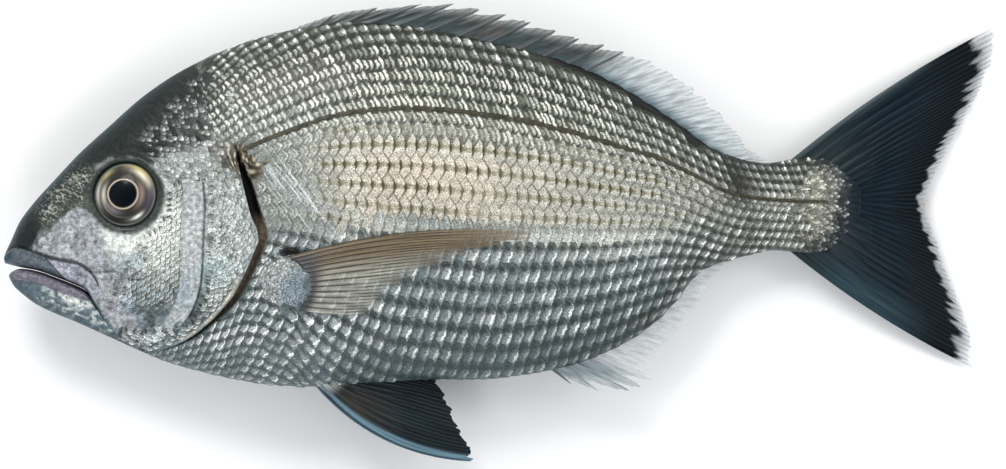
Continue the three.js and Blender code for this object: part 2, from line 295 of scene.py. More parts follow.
WIDTH = [
    (0, 0.1), (2, 0.2), (6, 0.31), (12, 0.42), (22, 0.54), (35, 0.66), (50, 0.8), (65, 0.92),
    (80, 0.985), (98, 1), (120, 0.975), (145, 0.87), (170, 0.71), (195, 0.52), (215, 0.375),
    (232, 0.29), (244, 0.21), (253, 0.13), (260, 0.06),
]


def through(points):
    """A function of x whose curve passes the points: each piece is a cubic whose end slopes are those
    of the chords between each point's neighbours."""
    px, py = np.array(points, float).T
    count = len(px)
    before = np.maximum(np.arange(count) - 1, 0)
    after = np.minimum(np.arange(count) + 1, count - 1)
    slope = (py[after] - py[before]) / (px[after] - px[before])

    def at(x):
        x = np.clip(x, px[0], px[-1])
        i = np.clip(np.searchsorted(px, x, side="left") - 1, 0, count - 2)
        span = px[i + 1] - px[i]
        t = (x - px[i]) / span
        r = 1 - t
        start = py[i] * (1 + 2 * t) * r * r + slope[i] * span * t * r * r
        return start + py[i + 1] * t * t * (3 - 2 * t) - slope[i + 1] * span * t * t * r

    return at


def ramp(start, end, x):
    """0 before start, 1 after end, and the cubic 3t^2 - 2t^3 between them. Start may lie above end."""
    t = np.clip((x - start) / (end - start), 0, 1)
    return t * t * (3 - 2 * t)


back_at = through(BACK)
belly_at = through(BELLY)
width_at = through(WIDTH)


def widest_at(x):
    """Height of the fish's widest line: a fixed share of the way from the belly to the back."""
    return belly_at(x) + WIDEST_SHARE * (back_at(x) - belly_at(x))


def half_thickness(x, y):
    """The oval section: (1 - share^bulge)^edge of the station's half width, where share is how far y
    lies from the widest line towards the outline."""
    widest = widest_at(x)
    up = y > widest
    reach = np.where(up, back_at(x) - widest, widest - belly_at(x))
    share = np.clip(np.abs(y - widest) / np.maximum(reach, 1e-6), 0, 1)
    bulge = np.where(up, BACK_BULGE, BELLY_BULGE)
    edge = np.where(up, BACK_EDGE, BELLY_EDGE)
    return HALF_WIDTH * width_at(x) * (1 - share**bulge) ** edge


def ring_height(x, share, floor_at=belly_at):
    """Height of a ring position, which is 0 at the back, 1 at the floor line and 2 at the back again:
    the widest line plus cos(pi share) times the reach on that side."""
    widest = widest_at(x)
    swing = np.cos(np.pi * share)
    return widest + swing * np.where(swing > 0, back_at(x) - widest, widest - floor_at(x))


def ring_position(x, y, floor_at=belly_at):
    """The other way round: the ring position of a height, by the arc cosine of its share of the reach."""
    widest = widest_at(x)
    reach = np.where(y > widest, back_at(x) - widest, widest - floor_at(x))
    return np.arccos(np.clip((y - widest) / reach, -1, 1)) / np.pi


def off_outline(share, steepness=4):
    """0 on the outline and 1 a little away from it, so that relief fades out where the flanks meet."""
    return np.minimum(np.abs(np.sin(np.pi * share)) * steepness, 1)


def side_of(share):
    """1 on the left flank and -1 on the right one, for a ring position."""
    return np.where(share <= 1, 1.0, -1.0)


def middle_at(x):
    """Height of the middle plane above the table, level first and then drooping by a power of x."""
    behind = np.maximum(x - DROOP_START, 0) / (FISH_LENGTH - DROOP_START)
    return MIDDLE_HEIGHT - TAIL_DROOP * behind**DROOP_POWER


print("deepest body in mm", round(float(np.max(back_at(np.arange(260)) - belly_at(np.arange(260)))), 1))

# %% [markdown]
# ## From arrays to meshes
#
# Every piece below is one grid of points, or hundreds of small grids in one mesh, as the scales are. An
# array modifier could copy one scale, but numpy bends each to its own place. The helpers number the
# corners of the quads, move points to the model's frame, and carry the UV map and the colours.

# %% Mesh helpers
def to_frame(points):
    """Side view millimetres to the model's metres: the snout is at the box's low end."""
    placed = np.array(points, float)
    placed[..., 0] = placed[..., 0] * MM + cad_low.x
    placed[..., 1] = placed[..., 1] * MM + TAIL_AXIS
    placed[..., 2] = np.maximum(placed[..., 2], 0) * MM
    return placed


def mesh_object(name, points, quads, uv=None, colours=None):
    """A mesh object from flat arrays: points (n, 3), quads (m, 4), a UV for each point and named colour
    attributes, (n, 4) each."""
    mesh = bpy.data.meshes.new(name)
    mesh.vertices.add(len(points))
    mesh.vertices.foreach_set("co", np.ascontiguousarray(points, dtype=np.float32).ravel())
    mesh.loops.add(quads.size)
    mesh.loops.foreach_set("vertex_index", quads.astype(np.int32).ravel())
    mesh.polygons.add(len(quads))
    mesh.polygons.foreach_set("loop_start", np.arange(len(quads), dtype=np.int32) * 4)
    mesh.update(calc_edges=True)
    mesh.polygons.foreach_set("use_smooth", np.ones(len(quads), dtype=bool))
    if uv is not None:
        layer = mesh.uv_layers.new(name="Along")
        layer.data.foreach_set("uv", uv[quads.ravel()].astype(np.float32).ravel())
    for label, values in (colours or {}).items():
        layer = mesh.color_attributes.new(label, "FLOAT_COLOR", "POINT")
        layer.data.foreach_set("color", values.astype(np.float32).ravel())
    made = bpy.data.objects.new(name, mesh)
    scene.collection.objects.link(made)
    return made


def grid_quads(rows, columns, wrap=False):
    """Quads of a grid, as point numbers. With wrap, the last column joins the first."""
    i = np.arange(rows - 1)[:, None]
    j = np.arange(columns if wrap else columns - 1)[None, :]
    k = (j + 1) % columns
    corners = np.stack(
        [i * columns + j, i * columns + k, (i + 1) * columns + k, (i + 1) * columns + j], -1
    )
    return corners.reshape(-1, 4)


def many_grids(count, rows, columns, wrap=False):
    """Quads of many equal grids in one mesh, whose points follow one another."""
    first = np.arange(count) * rows * columns
    return (grid_quads(rows, columns, wrap)[None] + first[:, None, None]).reshape(-1, 4)


def with_alpha(rgb, alpha=1.0):
    """An (n, 4) colour array from (n, 3) and one or n alphas."""
    flat = np.asarray(rgb, float).reshape(-1, 3)
    column = np.broadcast_to(np.asarray(alpha, float).reshape(-1, 1), (len(flat), 1))
    return np.concatenate([flat, column], 1)


def shell(name, points, paint):
    """A closed skin: a grid whose last column joins its first, with a painted colour at each point."""
    quads = grid_quads(*points.shape[:2], wrap=True)
    return mesh_object(name, to_frame(points).reshape(-1, 3), quads, colours={"Paint": with_alpha(paint)})


def srgb(red, green, blue):
    """A display colour from 0 to 255, as the linear values that shaders use."""
    c = np.array([red, green, blue], float) / 255
    return np.where(c <= 0.04045, c / 12.92, ((c + 0.055) / 1.055) ** 2.4)


NOISE_CELLS = 64


def noise(x, y, size, seed):
    """Soft random numbers from -1 to 1: a seeded lattice of the given cell size, blended smoothly."""
    lattice = np.random.default_rng(seed).uniform(-1, 1, (NOISE_CELLS, NOISE_CELLS))
    gx, gy = np.asarray(x) / size, np.asarray(y) / size
    i, j = np.floor(gx).astype(int), np.floor(gy).astype(int)
    s, t = gx - i, gy - j
    s, t = s * s * (3 - 2 * s), t * t * (3 - 2 * t)
    i0, j0 = i % NOISE_CELLS, j % NOISE_CELLS
    i1, j1 = (i + 1) % NOISE_CELLS, (j + 1) % NOISE_CELLS
    low = lattice[i0, j0] * (1 - s) + lattice[i1, j0] * s
    high = lattice[i0, j1] * (1 - s) + lattice[i1, j1] * s
    return low * (1 - t) + high * t


def clouds(x, y, size, seed, layers=3):
    """Noise with finer and weaker layers added: each has half the cell size and half the strength."""
    total = 0
    for k in range(layers):
        total = total + noise(x, y, size / 2**k, seed + k) / 2**k
    return total


def blend(base, colour, mask):
    """Base colours (n, 3) turned towards a colour by a mask of n values from 0 to 1."""
    m = np.clip(mask, 0, 1)[..., None]
    return base * (1 - m) + colour * m


def layers(colour, *laid):
    """A colour with others laid over it one after another, each given as (colour, mask). A colour that
    is given as three plain numbers from 0 to 255 is turned into light first."""
    for upper, mask in laid:
        colour = blend(colour, srgb(*upper) if isinstance(upper, tuple) else upper, mask)
    return colour


def draws(seed, count):
    """Seeded random numbers from a bell round 0 with a width of 1."""
    return np.random.default_rng(seed).normal(0, 1, count)


def plain(colour, x):
    """The same colour at every x, (..., 3)."""
    return np.broadcast_to(colour, (*np.shape(x), 3)).copy()


print("display grey 128 is", srgb(128, 128, 128)[0].round(3), "in linear light")

# %% [markdown]
# ## Skin of the head
#
# The head is one closed shell. It runs from the lips back to the free edge of the gill cover, where the
# skin turns in over the edge and stops. Stretching the grid so that its last row lies exactly on that
# edge keeps the edge crisp, which a plain square grid would turn into a staircase. The front of its
# lower side is the upper lip: the lower jaw is a piece of its own, so the mouth is really open.

# %% Lines of the head
GILL_SEAM = [
    (62, 42.9), (66, 33), (69, 23), (70.4, 14.6), (71.7, 8.6), (73.2, 2.2), (75, -4.8), (76.9, -9),
    (77.5, -12.2), (75.9, -16.2), (73.1, -22.6), (69.6, -29.2), (63.6, -36), (57, -41.4), (49.8, -44.8),
    (43, -46.2), (39, -44.8),
]
HEAD_LOWER = [
    (0, -19.2), (4.6, -20.4), (10.6, -21.6), (16.7, -23.8), (22.8, -26.3), (25.2, -27.9), (27.3, -31.6),
    (30.4, -36.8), (33.4, -41.1), (36.4, -43.7), (39, -44.8),
]
UPPER_LIP_TOP = [
    (0, -16.7), (3, -14.6), (6.1, -14.9), (12.1, -17), (16.7, -18.2), (22.8, -19.4), (26.4, -21.9),
    (28.5, -24.9), (29.2, -27.5),
]
CHEEK_EDGE = [
    (-44.3, 41), (-43.1, 47.1), (-39.5, 52.5), (-34, 56.8), (-27.6, 59.2), (-20, 60.1), (-12.1, 60.4),
    (-2.4, 60.9), (2, 60.7), (8, 60),
]
EYE_X, EYE_Y, EYE_RADIUS = 37.0, 1.5, 10.4
COVER_RISE = 1.7
COVER_FRONT, COVER_REAR = 48.0, 76.0
LIP_ROUND = 2.2

head_lower_at = through(HEAD_LOWER)
lip_top_at = through(UPPER_LIP_TOP)
cheek_edge_at = through(CHEEK_EDGE)
seam_by_height = through([(y, x) for x, y in reversed(GILL_SEAM[:-1])])


def head_floor(x):
    """Lower outline of the head shell: the gape in front, the belly's outline behind."""
    return np.where(x < HEAD_LOWER[-1][0], np.maximum(head_lower_at(x), belly_at(x)), belly_at(x))


def rounded_in(distance, radius):
    """1 away from an edge, falling to 0 at it as a quarter circle of the radius does."""
    t = np.clip(1 - distance / np.maximum(radius, 1e-3), 0, 1)
    return np.sqrt(np.maximum(1 - t * t, 0))


def bump(value, centre, width):
    """A bell of height 1 at the centre, e^-1 at the width."""
    return np.exp(-(((value - centre) / width) ** 2))


def patch(x, y, centre, radius, stretch=(1, 1)):
    """A round bell in the side view, 1 at its centre, after both distances are stretched."""
    return bump(np.hypot((x - centre[0]) * stretch[0], (y - centre[1]) * stretch[1]), 0, radius)


def eye_distance(x, y):
    """Distance from the middle of the eye in the side view."""
    return np.hypot(x - EYE_X, y - EYE_Y)


def past_lip_skin(x, y):
    """How far a place lies behind the slanted line where the lip's skin ends and the jaw bone is bare."""
    return (x - 17.3) + 0.9 * (y + 22.4)


def pinch_folds(x, y):
    """Folds of skin round the upper end of the gill slit: the share of folded skin, and ridges from 0 to
    1 that fan out from the slit's end and then run down beside it."""
    along, across = (x - 74.5) * 0.75 - (y - 12) * 0.66, (x - 74.5) * 0.66 + (y - 12) * 0.75
    share = ramp(1, 0.5, np.hypot(along / 12, across / 8) + 0.1 * clouds(x, y, 2.5, 55))
    away = np.hypot(x - 71.8, y - 8.5)
    fan = 24 * np.arctan2(y - 7.5, x - 71.5) + 0.5 * away
    return share, 0.5 + 0.5 * np.sin(fan + 2.6 * clouds(x, y, 3.2, 57))


def shaded_fold_colours(x, y, ridges):
    """Brown black painted shade in the furrows between folds, tan on their sides and pale gold on their
    crests, partly painted highlight, and greyer farther from the slit's end."""
    return layers(
        plain(srgb(30, 24, 19), ridges),
        ((104, 92, 74), ramp(0.3, 0.75, ridges)),
        ((208, 202, 180), ramp(0.8, 0.97, ridges) * ramp(-0.5, 0.3, noise(x, y, 1.1, 60))),
        ((128, 128, 118), 0.5 * ramp(4, 9, np.hypot(x - 72, y - 10))),
    )


def with_folds(colour, x, y):
    """A colour with the folds' colours, their painted shade and highlights, laid over it by their share."""
    share, ridges = pinch_folds(x, y)
    return blend(colour, shaded_fold_colours(x, y, ridges), share)


def head_relief(x, y):
    """How far the head's skin stands proud of the plain oval: gill cover, cheek bone with its groove,
    eye socket with its rim, lip, jaw bone, nostrils and low soft unevenness, added up."""
    rise = COVER_RISE * ramp(COVER_FRONT, COVER_REAR, x) * ramp(19, 11, y)
    groove = x - cheek_edge_at(y)
    behind_eye = ramp(9, 5, y)
    rise = rise + behind_eye * (0.45 * ramp(-14, -1.5, groove) * ramp(0.35, -0.35, groove))
    rise = rise - 0.55 * bump(groove, 0.35, 0.38) * behind_eye
    flange = ramp(-6.5, -5.6, groove) * behind_eye * ramp(0, -2, groove)
    rise = rise - 0.16 * flange
    away = eye_distance(x, y)
    rise = rise + 0.5 * bump(away, EYE_RADIUS + 1.1, 1.1)
    rise = rise - 0.25 * bump(away, EYE_RADIUS + 3.4, 1.2)
    rise = rise - 5.5 * ramp(EYE_RADIUS - 0.2, EYE_RADIUS - 2.4, away)
    top = lip_top_at(x)
    inside = ramp(0.15, -0.5, y - top) * ramp(29.4, 28.4, x)
    rise = rise + 0.85 * inside * ramp(30, 24, x)
    rise = rise - 0.5 * bump(y, top + 0.15, 0.4) * ramp(30, 28, x)
    rise = rise + 0.35 * ramp(-0.4, 0.4, past_lip_skin(x, y)) * inside
    rise = rise - 0.45 * patch(x, y, (16.1, -1.8), 0.9)
    rise = rise - 0.7 * patch(x, y, (22.2, 1.2), 1.1, (0.75, 1.9))
    rise = rise + 0.16 * clouds(x, y, 6, 11)
    rise = rise + 0.07 * clouds(x, y, 1.3, 17, 2)
    share, ridges = pinch_folds(x, y)
    rise = rise + 0.16 * share * (ridges - 0.4)
    return rise - 0.7 * ramp(-9, -1, x - seam_by_height(y)) * ramp(15, 20, y)

# %% [markdown]
# ## The head as a grid of rings
#
# A head could be sculpted, or pulled out of a box loop by loop. Here every station is a ring of points
# round the oval section. The relief moves points outward, so a bone is changed in one line of a formula.

# %% Head shell
HEAD_STEPS = 330
LEFT_STEPS = 200
RIGHT_STEPS = 84
EDGE_THICKNESS = 1.9


def ring_shares(left, right):
    """Ring positions once round a section: 0 at the back, 1 at the belly, 2 at the back again."""
    return np.concatenate([np.arange(left) / left, 1 + np.arange(right) / right])


def seam_at(share):
    """The gill seam's x for a ring position, by reading the seam's points in ring terms."""
    x, y = np.array(GILL_SEAM, float).T
    around = ring_position(x, y, head_floor)
    around[0], around[-1] = 0, 1
    return np.interp(1 - np.abs(share - 1), around, x)


def head_point(x, share):
    """A skin point from its station and ring position: y swings from the outline's top to its bottom,
    and z is the half thickness with the relief, above or below the middle plane."""
    y = ring_height(x, share, head_floor)
    radius = LIP_ROUND * ramp(36, 24, x)
    lip = np.where(radius > 0.01, rounded_in(y - head_floor(x), radius), 1.0)
    under_jaw = 0.9 * ramp(38, 33, x) * ramp(24, 27, x) * ramp(-1.5, -5, y + 27.5 + (x - 25) * 1.25)
    rise = (head_relief(x, y) - under_jaw) * off_outline(share)
    half = np.maximum((half_thickness(x, y) + rise) * lip, 0)
    return np.stack(np.broadcast_arrays(x, y, middle_at(x) + side_of(share) * half), -1)


ring = ring_shares(LEFT_STEPS, RIGHT_STEPS)
along = np.linspace(0, 1, HEAD_STEPS)
along = 0.3 * along**1.8 + 0.7 * along
station = np.maximum(along[:, None] * seam_at(ring)[None, :], 0.02)
head_points = head_point(station, np.broadcast_to(ring[None, :], station.shape))

# The shell turns in over the gill cover's edge and closes on the middle plane.
inner_rows = []
for drop, forward in ((0.35, -0.1), (1.0, 0.05), (EDGE_THICKNESS, 0.5), (EDGE_THICKNESS + 0.5, 6.0)):
    row = head_points[-1].copy()
    row[:, 0] -= forward * off_outline(ring, 3)
    row[:, 1] = np.clip(row[:, 1], head_floor(row[:, 0]) + 0.3, back_at(row[:, 0]) - 0.3)
    middle = middle_at(row[:, 0])
    row[:, 2] = middle + side_of(ring) * np.maximum(np.abs(head_points[-1][:, 2] - middle) - drop, 0)
    inner_rows.append(row)
closing = inner_rows[-1].copy()
closing[:, 2] = middle_at(closing[:, 0])
snout = head_points[0].copy()
snout[:] = snout.mean(0)
head_points = np.concatenate([snout[None], head_points, np.array(inner_rows), closing[None]])
print("head grid", head_points.shape)

# %% [markdown]
# ## Colours of the head
#
# The head's colours follow its bones, so a plain texture cannot know them. Each point of the shell gets
# a colour from soft masks in the side view: dark on top, gilded and mottled round the nostrils, white
# under the eye, lilac silver on the cheek. The node material then adds the finer speckle and the gloss.

# %% Paint the cheek and the snout
DARK_TOP = [
    (0, -12.5), (3, -14), (6, -15), (9, -14.5), (11, -9), (16.7, 3), (20, 6.5), (25, 8.6), (31, 11.2),
    (37, 12.4), (44, 11), (51.6, 14.5), (59.2, 16.1), (65, 20.6), (67, 26), (68, 40),
]
CHEEK_PLATE_TOP = [
    (6, -16), (9.1, -13), (10.5, -10.6), (14, -9), (17, -6.6), (20, -3.6), (23, -2.4), (26, -4),
    (31.9, -6.7), (37, -10.2), (44, -9.6), (50, -4), (54, 4),
]
dark_top_at = through(DARK_TOP)
plate_top_at = through(CHEEK_PLATE_TOP)

SILVER = srgb(158, 165, 163)
WHITE_SILVER = srgb(218, 222, 217)
PLATE_SILVER = srgb(150, 154, 158)
LOW_CHEEK = srgb(84, 96, 101)
GILT = srgb(186, 182, 136)
DARK_SKIN = srgb(10, 22, 21)
SNOUT_BROWN = srgb(46, 51, 47)
# Teal along the outlines: partly the skin's colour and partly painted shade where the skin turns away from
# the light.
OUTLINE_TEAL_SHADE = srgb(34, 62, 72)
LIP_SKIN = srgb(78, 86, 93)
SOCKET_SKIN = srgb(76, 82, 79)
GROOVE_SHADE = srgb(26, 30, 34)
MEMBRANE = srgb(104, 90, 76)


def specks(x, y, size, seed, low=0.25, high=0.75):
    """Bright specks of a size, 0 to 1: the tops of layered noise."""
    return ramp(low, high, clouds(x, y, size, seed, 3))


def paint_cheek(x, y, mottle, fine, upright):
    """Mottled silver, whitest under the eye and grey below, with the combed flange and the groove of the
    front gill plate."""
    away = eye_distance(x, y)
    groove = x - cheek_edge_at(y)
    behind_eye = ramp(9, 5, y)
    white = bump(away, 14.5, 4.0) * ramp(3, -5, y) * ramp(26, 33, x)
    white = np.maximum(white, 0.8 * bump(away, 19, 5) * ramp(0, -10, y) * ramp(36, 46, x))
    flange = ramp(-6.4, -5.6, groove) * ramp(0.3, -0.3, groove) * behind_eye
    combed = 1 + 0.12 * np.sin(np.arctan2(y + 10, x - 30) * 150)
    return layers(
        SILVER * (1 + 0.16 * mottle + 0.24 * fine + 0.14 * upright)[..., None],
        (WHITE_SILVER * (1 + 0.1 * fine)[..., None], white),
        (LOW_CHEEK * (1 + 0.6 * mottle + 0.6 * fine)[..., None], 0.85 * ramp(-13, -29, y + 0.1 * x)),
        (srgb(174, 177, 178) * (combed + 0.12 * fine)[..., None], 0.85 * flange),
        (GROOVE_SHADE, 0.85 * bump(groove, 0.35, 0.32) * behind_eye),
        (SILVER * 0.66, 0.5 * bump(groove, -6.2, 0.4) * behind_eye * ramp(-26, -18, y)),
    )


def paint_snout(colour, x, y, mottle, fine, upright):
    """The pale plate before the cheek, the brown snout over it with its clusters of bright specks, and
    the dark top of the head."""
    over_plate = (y - plate_top_at(x) + 0.5 * mottle) / (0.5 + 1.3 * ramp(20, 11, x)) + 0.5 * upright
    plate = ramp(1, -1, over_plate) * ramp(33, 25, x + 0.4 * (y + 8))
    lilac = blend(plain(PLATE_SILVER, x), srgb(156, 155, 163), ramp(0, 0.8, upright))
    snout = ramp(-1, 1, over_plate) * ramp(30, 27, x)
    cluster = patch(x, y, (23, 6), 4.6) + 0.8 * patch(x, y, (15.5, 1), 4.4)
    cluster = cluster + 0.8 * patch(x, y, (13, -4), 3.4) + 0.7 * patch(x, y, (24, 0.5), 2.4)
    bright = specks(x + 0.5 * y, y, 0.5, 97, -0.05, 0.6) * np.clip(cluster, 0, 1)
    bright = bright * ramp(30, 27, x) * ramp(-1.5, 0.5, y - plate_top_at(x))
    dark = ramp(-1.2, 1.2, y - dark_top_at(x) + 1.2 * mottle) * ramp(73, 66, x)
    return layers(
        colour,
        (lilac * (1 + 0.25 * mottle + 0.25 * fine + 0.25 * upright)[..., None], plate),
        ((62, 80, 86), 0.7 * plate * ramp(17, 9, x) * ramp(0.4, -0.3, fine + upright)),
        (SNOUT_BROWN * (1 + 0.3 * fine)[..., None], snout),
        ((176, 184, 178), 0.7 * bright),
        (GILT, 0.3 * bright * specks(x, y, 2.0, 99, 0.0, 0.6)),
        (DARK_SKIN * (1 + 0.3 * fine)[..., None], dark * (1 - 0.8 * bright)),
    )

# %% [markdown]
# ## Mouth, eye socket and gill edge
#
# Small dark lines make a head look sharp: the gape, the jaw bone's outline, the nostrils and the hem of
# the gill cover. Each is a narrow bell across a line that the relief follows too, so colour and form fall
# together.

# %% Paint the mouth, the socket and the gill edge
def paint_mouth(colour, x, y, fine):
    """The upper lip in front and the bare jaw bone behind it, each outlined, and the gape's dark line."""
    top, low = lip_top_at(x), head_floor(x)
    lip = ramp(0.3, -0.4, y - top) * ramp(29.2, 28.2, x) * ramp(-31, -28.5, y)
    past = past_lip_skin(x, y)
    bone = ramp(-0.4, 0.4, past)
    ridge = 1 + 0.3 * bump(y, (top + low) / 2, 1.2) + 0.1 * fine
    hollow = bump(np.hypot((x - 23.4) * 0.5, y + 22.6 + 0.5 * (x - 23.4)), 0, 0.9)
    outlined = bump(np.minimum(top - y, y - low), 0.3, 0.35) * lip * bone + bump(past, -0.2, 0.3) * lip
    corner = bump(y, -21.9 + 0.02 * (x - 29), 0.3) * ramp(26.5, 28, x) * ramp(38, 34, x)
    return layers(
        colour,
        (LIP_SKIN * ridge[..., None], lip * (1 - bone)),
        # The lip's front tip turns teal at the outline: partly painted shade.
        (OUTLINE_TEAL_SHADE, lip * ramp(4.5, 1, x)),
        (srgb(150, 152, 162) * (1 + 0.25 * fine)[..., None], lip * bone),
        ((72, 76, 88), 0.8 * hollow * lip * bone),
        ((34, 38, 46), 0.85 * np.clip(outlined, 0, 1)),
        ((14, 20, 26), 0.9 * bump(y, top + 0.05, 0.32) * ramp(30, 28.6, x)),
        ((40, 44, 46), 0.8 * corner),
    )


def paint_socket(colour, x, y, mottle):
    """Dark skin round the eye, darker above it, and the two nostrils before it."""
    orbit = ramp(1, 0.86, np.hypot(x - 37.4, (y - 0.9) * 1.02) / 12.6)
    corner = ramp(1, 0.8, np.hypot((x - 28.6) * 0.9, (y + 0.2) * 0.8 + 0.3 * (x - 28.6)) / 4.6)
    orbit = np.maximum(orbit, corner)
    return layers(
        colour,
        (SOCKET_SKIN * (1 + 0.1 * mottle)[..., None], orbit),
        ((30, 36, 34), 0.85 * orbit * ramp(-3, 6, y)),
        ((40, 45, 40), 0.7 * bump(eye_distance(x, y), EYE_RADIUS + 0.4, 0.7)),
        ((10, 13, 12), 0.9 * patch(x, y, (21.4, 0.2), 1.3, (0.75, 1.9))),
        ((26, 30, 28), 0.8 * patch(x, y, (15.4, -1.6), 1.0)),
    )


def paint_gill_edge(colour, x, y, mottle, fine):
    """Folded skin at the upper end of the gill slit, and the pale hem of the gill cover's lower edge."""
    streaks = np.sin(np.arctan2(y - 12, x - 72) * 26 + 2 * mottle) * patch(x, y, (66, 17), 6)
    colour = layers(
        colour,
        (srgb(66, 58, 46) * (1 + 0.8 * fine)[..., None], 0.85 * patch(x, y, (68, 16), 4, (0.8, 0.5))),
        ((40, 36, 31), 0.8 * ramp(0.15, 0.7, streaks)),
    )
    within = seam_by_height(y) - x
    hem = ramp(-20, -27, y) * ramp(-44.5, -42, y)
    return layers(
        with_folds(colour, x, y),
        ((138, 138, 130), 0.85 * hem * ramp(2.6, 2.0, within)),
        ((206, 206, 196), 0.8 * hem * bump(within, 1.1, 0.35)),
        ((46, 46, 44), 0.7 * hem * bump(within, 2.5, 0.3)),
    )


def paint_head(x, y):
    """Colours of the head in the side view, (..., 3): its parts laid over each other from broad to fine."""
    mottle = clouds(x, y, 3.2, 31, 4)
    fine = clouds(x, y, 0.9, 37, 3)
    upright = clouds(x, y * 0.35, 1.3, 33, 3)
    colour = paint_cheek(x, y, mottle, fine, upright)
    colour = paint_snout(colour, x, y, mottle, fine, upright)
    rim = np.minimum(back_at(x) - y, y - head_floor(x))
    net = ramp(0.1, 0.7, clouds(x, y, 0.8, 35, 2))
    net = net * ramp(9.5, 5, np.hypot(x - 38, (y + 24) * 1.3))
    colour = layers(
        colour,
        # Teal bands along the lower outline and along the back before the eye: partly the skin's colour,
        # partly painted shade.
        (OUTLINE_TEAL_SHADE, 0.85 * ramp(3.6, 0, rim) * ramp(-24, -32, y)),
        (OUTLINE_TEAL_SHADE, 0.7 * ramp(2.6, 0, back_at(x) - y) * ramp(60, 30, x)),
        ((52, 66, 78), 0.65 * net),
    )
    colour = paint_mouth(colour, x, y, fine)
    colour = paint_socket(colour, x, y, mottle)
    colour = paint_gill_edge(colour, x, y, mottle, fine)
    blue = ramp(0, 0.8, clouds(x, y, 4.5, 39)) * ramp(30, 36, x) * ramp(-14, -22, y)
    return np.clip(colour * (1 - blue[..., None] * np.array([0.2, 0.09, 0.0])), 0, 1)


head_colour = paint_head(head_points[..., 0], head_points[..., 1])

# %% [markdown]
# ## Wet skin
#
# Fresh skin lies under clear slime. A painted picture of it would freeze its highlights, so the finish
# keeps three parts apart: painted colour, a fine grain and a thin clear coat that mirrors the lamps. Only
# fine bright specks are painted sparkle.

# %% Skin finish
def skin_finish(name, roughness, wet):
    """Painted skin with fine speckle in colour and height, and bright specks of painted sparkle, under a
    wet coat.
    """
    made, tree, shader = new_finish(name)
    paint, _ = attribute(tree, "Paint")
    grain = speckle(tree, 1.2, 4.0)
    fleck = step(tree, grain, 0.35, 0.65)
    colour = shaded(tree, paint, 0.55, fleck, (0.4, 0.42, 0.43), (1.5, 1.5, 1.48))
    # Bright specks: painted sparkle.
    painted_sparkle = step(tree, speckle(tree, 0.36, 1.0), 0.5, 0.66)
    height = calc(tree, "ADD", scaled(tree, grain, 0.6), speckle(tree, 0.5, 2.0))
    surface(tree, shader, {
        "Base Color": shaded(tree, colour, 0.7, painted_sparkle, (0.82, 0.82, 0.82), (1.6, 1.6, 1.58)),
        "Normal": bumpy(tree, height, 0.35, 0.0003),
        "Roughness": scaled(tree, grain, 0.25, roughness),
        "Specular IOR Level": 0.22,
        "Coat Weight": wet,
        "Coat Roughness": 0.12,
    })
    return made


head_skin = skin_finish("head skin", 0.3, 0.1)
dress(shell("head", head_points, head_colour), head_skin, "skin", "fish")

# %% [markdown]
# ## Lower jaw
#
# The lower jaw is a blade of its own: its front rises to the lower lip, and its rear edge runs from the
# corner of the mouth down to the throat. It is made like the head, from a top line and the belly's
# outline, and rounds in along the lip.

# %% Jaw shell
JAW_TOP = [
    (1.4, -22.8), (2.3, -21.9), (4.8, -20.9), (10.6, -21.8), (16.7, -24), (22.8, -26.5), (25.2, -28),
    (28.2, -31.9), (31.3, -36.4), (34.3, -40.4), (38, -44.3),
]
LOWER_LIP = [(0.9, -24.4), (4.6, -24.4), (10.6, -25.3), (16.7, -27.6), (22.8, -29.8), (26, -30.4)]
JAW_STEPS = 150
JAW_RING = (70, 34)
jaw_top_at = through(JAW_TOP)
lower_lip_at = through(LOWER_LIP)


def jaw_point(x, share):
    """As the head's, but between the jaw's top line and the belly's outline."""
    top, low = jaw_top_at(x), belly_at(x)
    y = (top + low) / 2 + np.cos(np.pi * share) * (top - low) / 2
    lip = rounded_in(top - y, np.minimum(2.2, (top - low) * 0.5))
    rise = 0.35 * ramp(38, 30, x) + 0.5 * ramp(0.1, 0.6, y - lower_lip_at(x)) * ramp(27, 24, x)
    rise = rise - 0.3 * bump(y, lower_lip_at(x), 0.35) * ramp(27, 24, x)
    rise = rise + 0.12 * clouds(x, y, 5, 41)
    half = np.maximum(half_thickness(x, y) * lip + rise * off_outline(share), 0)
    return np.stack(np.broadcast_arrays(x, y, middle_at(x) + side_of(share) * half), -1)


def paint_jaw(x, y):
    """Grey lilac lip, silver mottled jaw and a throat that turns teal along the belly's outline, partly the
    skin's colour and partly painted shade.
    """
    mottle = clouds(x * 0.7, y, 2.4, 43, 4)
    fine = clouds(x * 0.8, y, 0.9, 47, 3)
    colour = srgb(84, 98, 106) * (1 + 0.3 * mottle)[..., None]
    under_lip = bump(y, lower_lip_at(x) - 1.2, 1.3) * ramp(13, 19, x) * ramp(29, 25, x)
    lip = ramp(-0.5, 0.3, y - lower_lip_at(x)) * ramp(28, 25, x)
    colour = layers(
        colour,
        ((186, 194, 194), specks(x * 0.6, y, 1.1, 49, -0.1, 0.7) * ramp(8, 14, x)),
        (WHITE_SILVER, under_lip * ramp(-0.5, 0.3, fine)),
        # Teal along the belly's outline: partly the skin's colour, partly painted shade.
        (OUTLINE_TEAL_SHADE, 0.8 * ramp(3.6, 0.3, y - belly_at(x))),
        (srgb(112, 108, 120) * (1 + 0.1 * fine)[..., None], lip),
        (OUTLINE_TEAL_SHADE, 0.7 * lip * ramp(4, 1.8, x)),
    )
    return np.clip(colour, 0, 1)


jaw_ring = ring_shares(*JAW_RING)
jaw_along = np.linspace(0, 1, JAW_STEPS)
jaw_x = JAW_TOP[0][0] + (JAW_TOP[-1][0] - JAW_TOP[0][0]) * jaw_along
jaw_points = jaw_point(jaw_x[:, None], jaw_ring[None, :])
jaw_points[0] = jaw_points[0].mean(0)
jaw_points[-1] = jaw_points[-1].mean(0)
jaw_colour = paint_jaw(jaw_points[..., 0], jaw_points[..., 1])
dress(shell("lower_jaw", jaw_points, jaw_colour), head_skin, "skin")
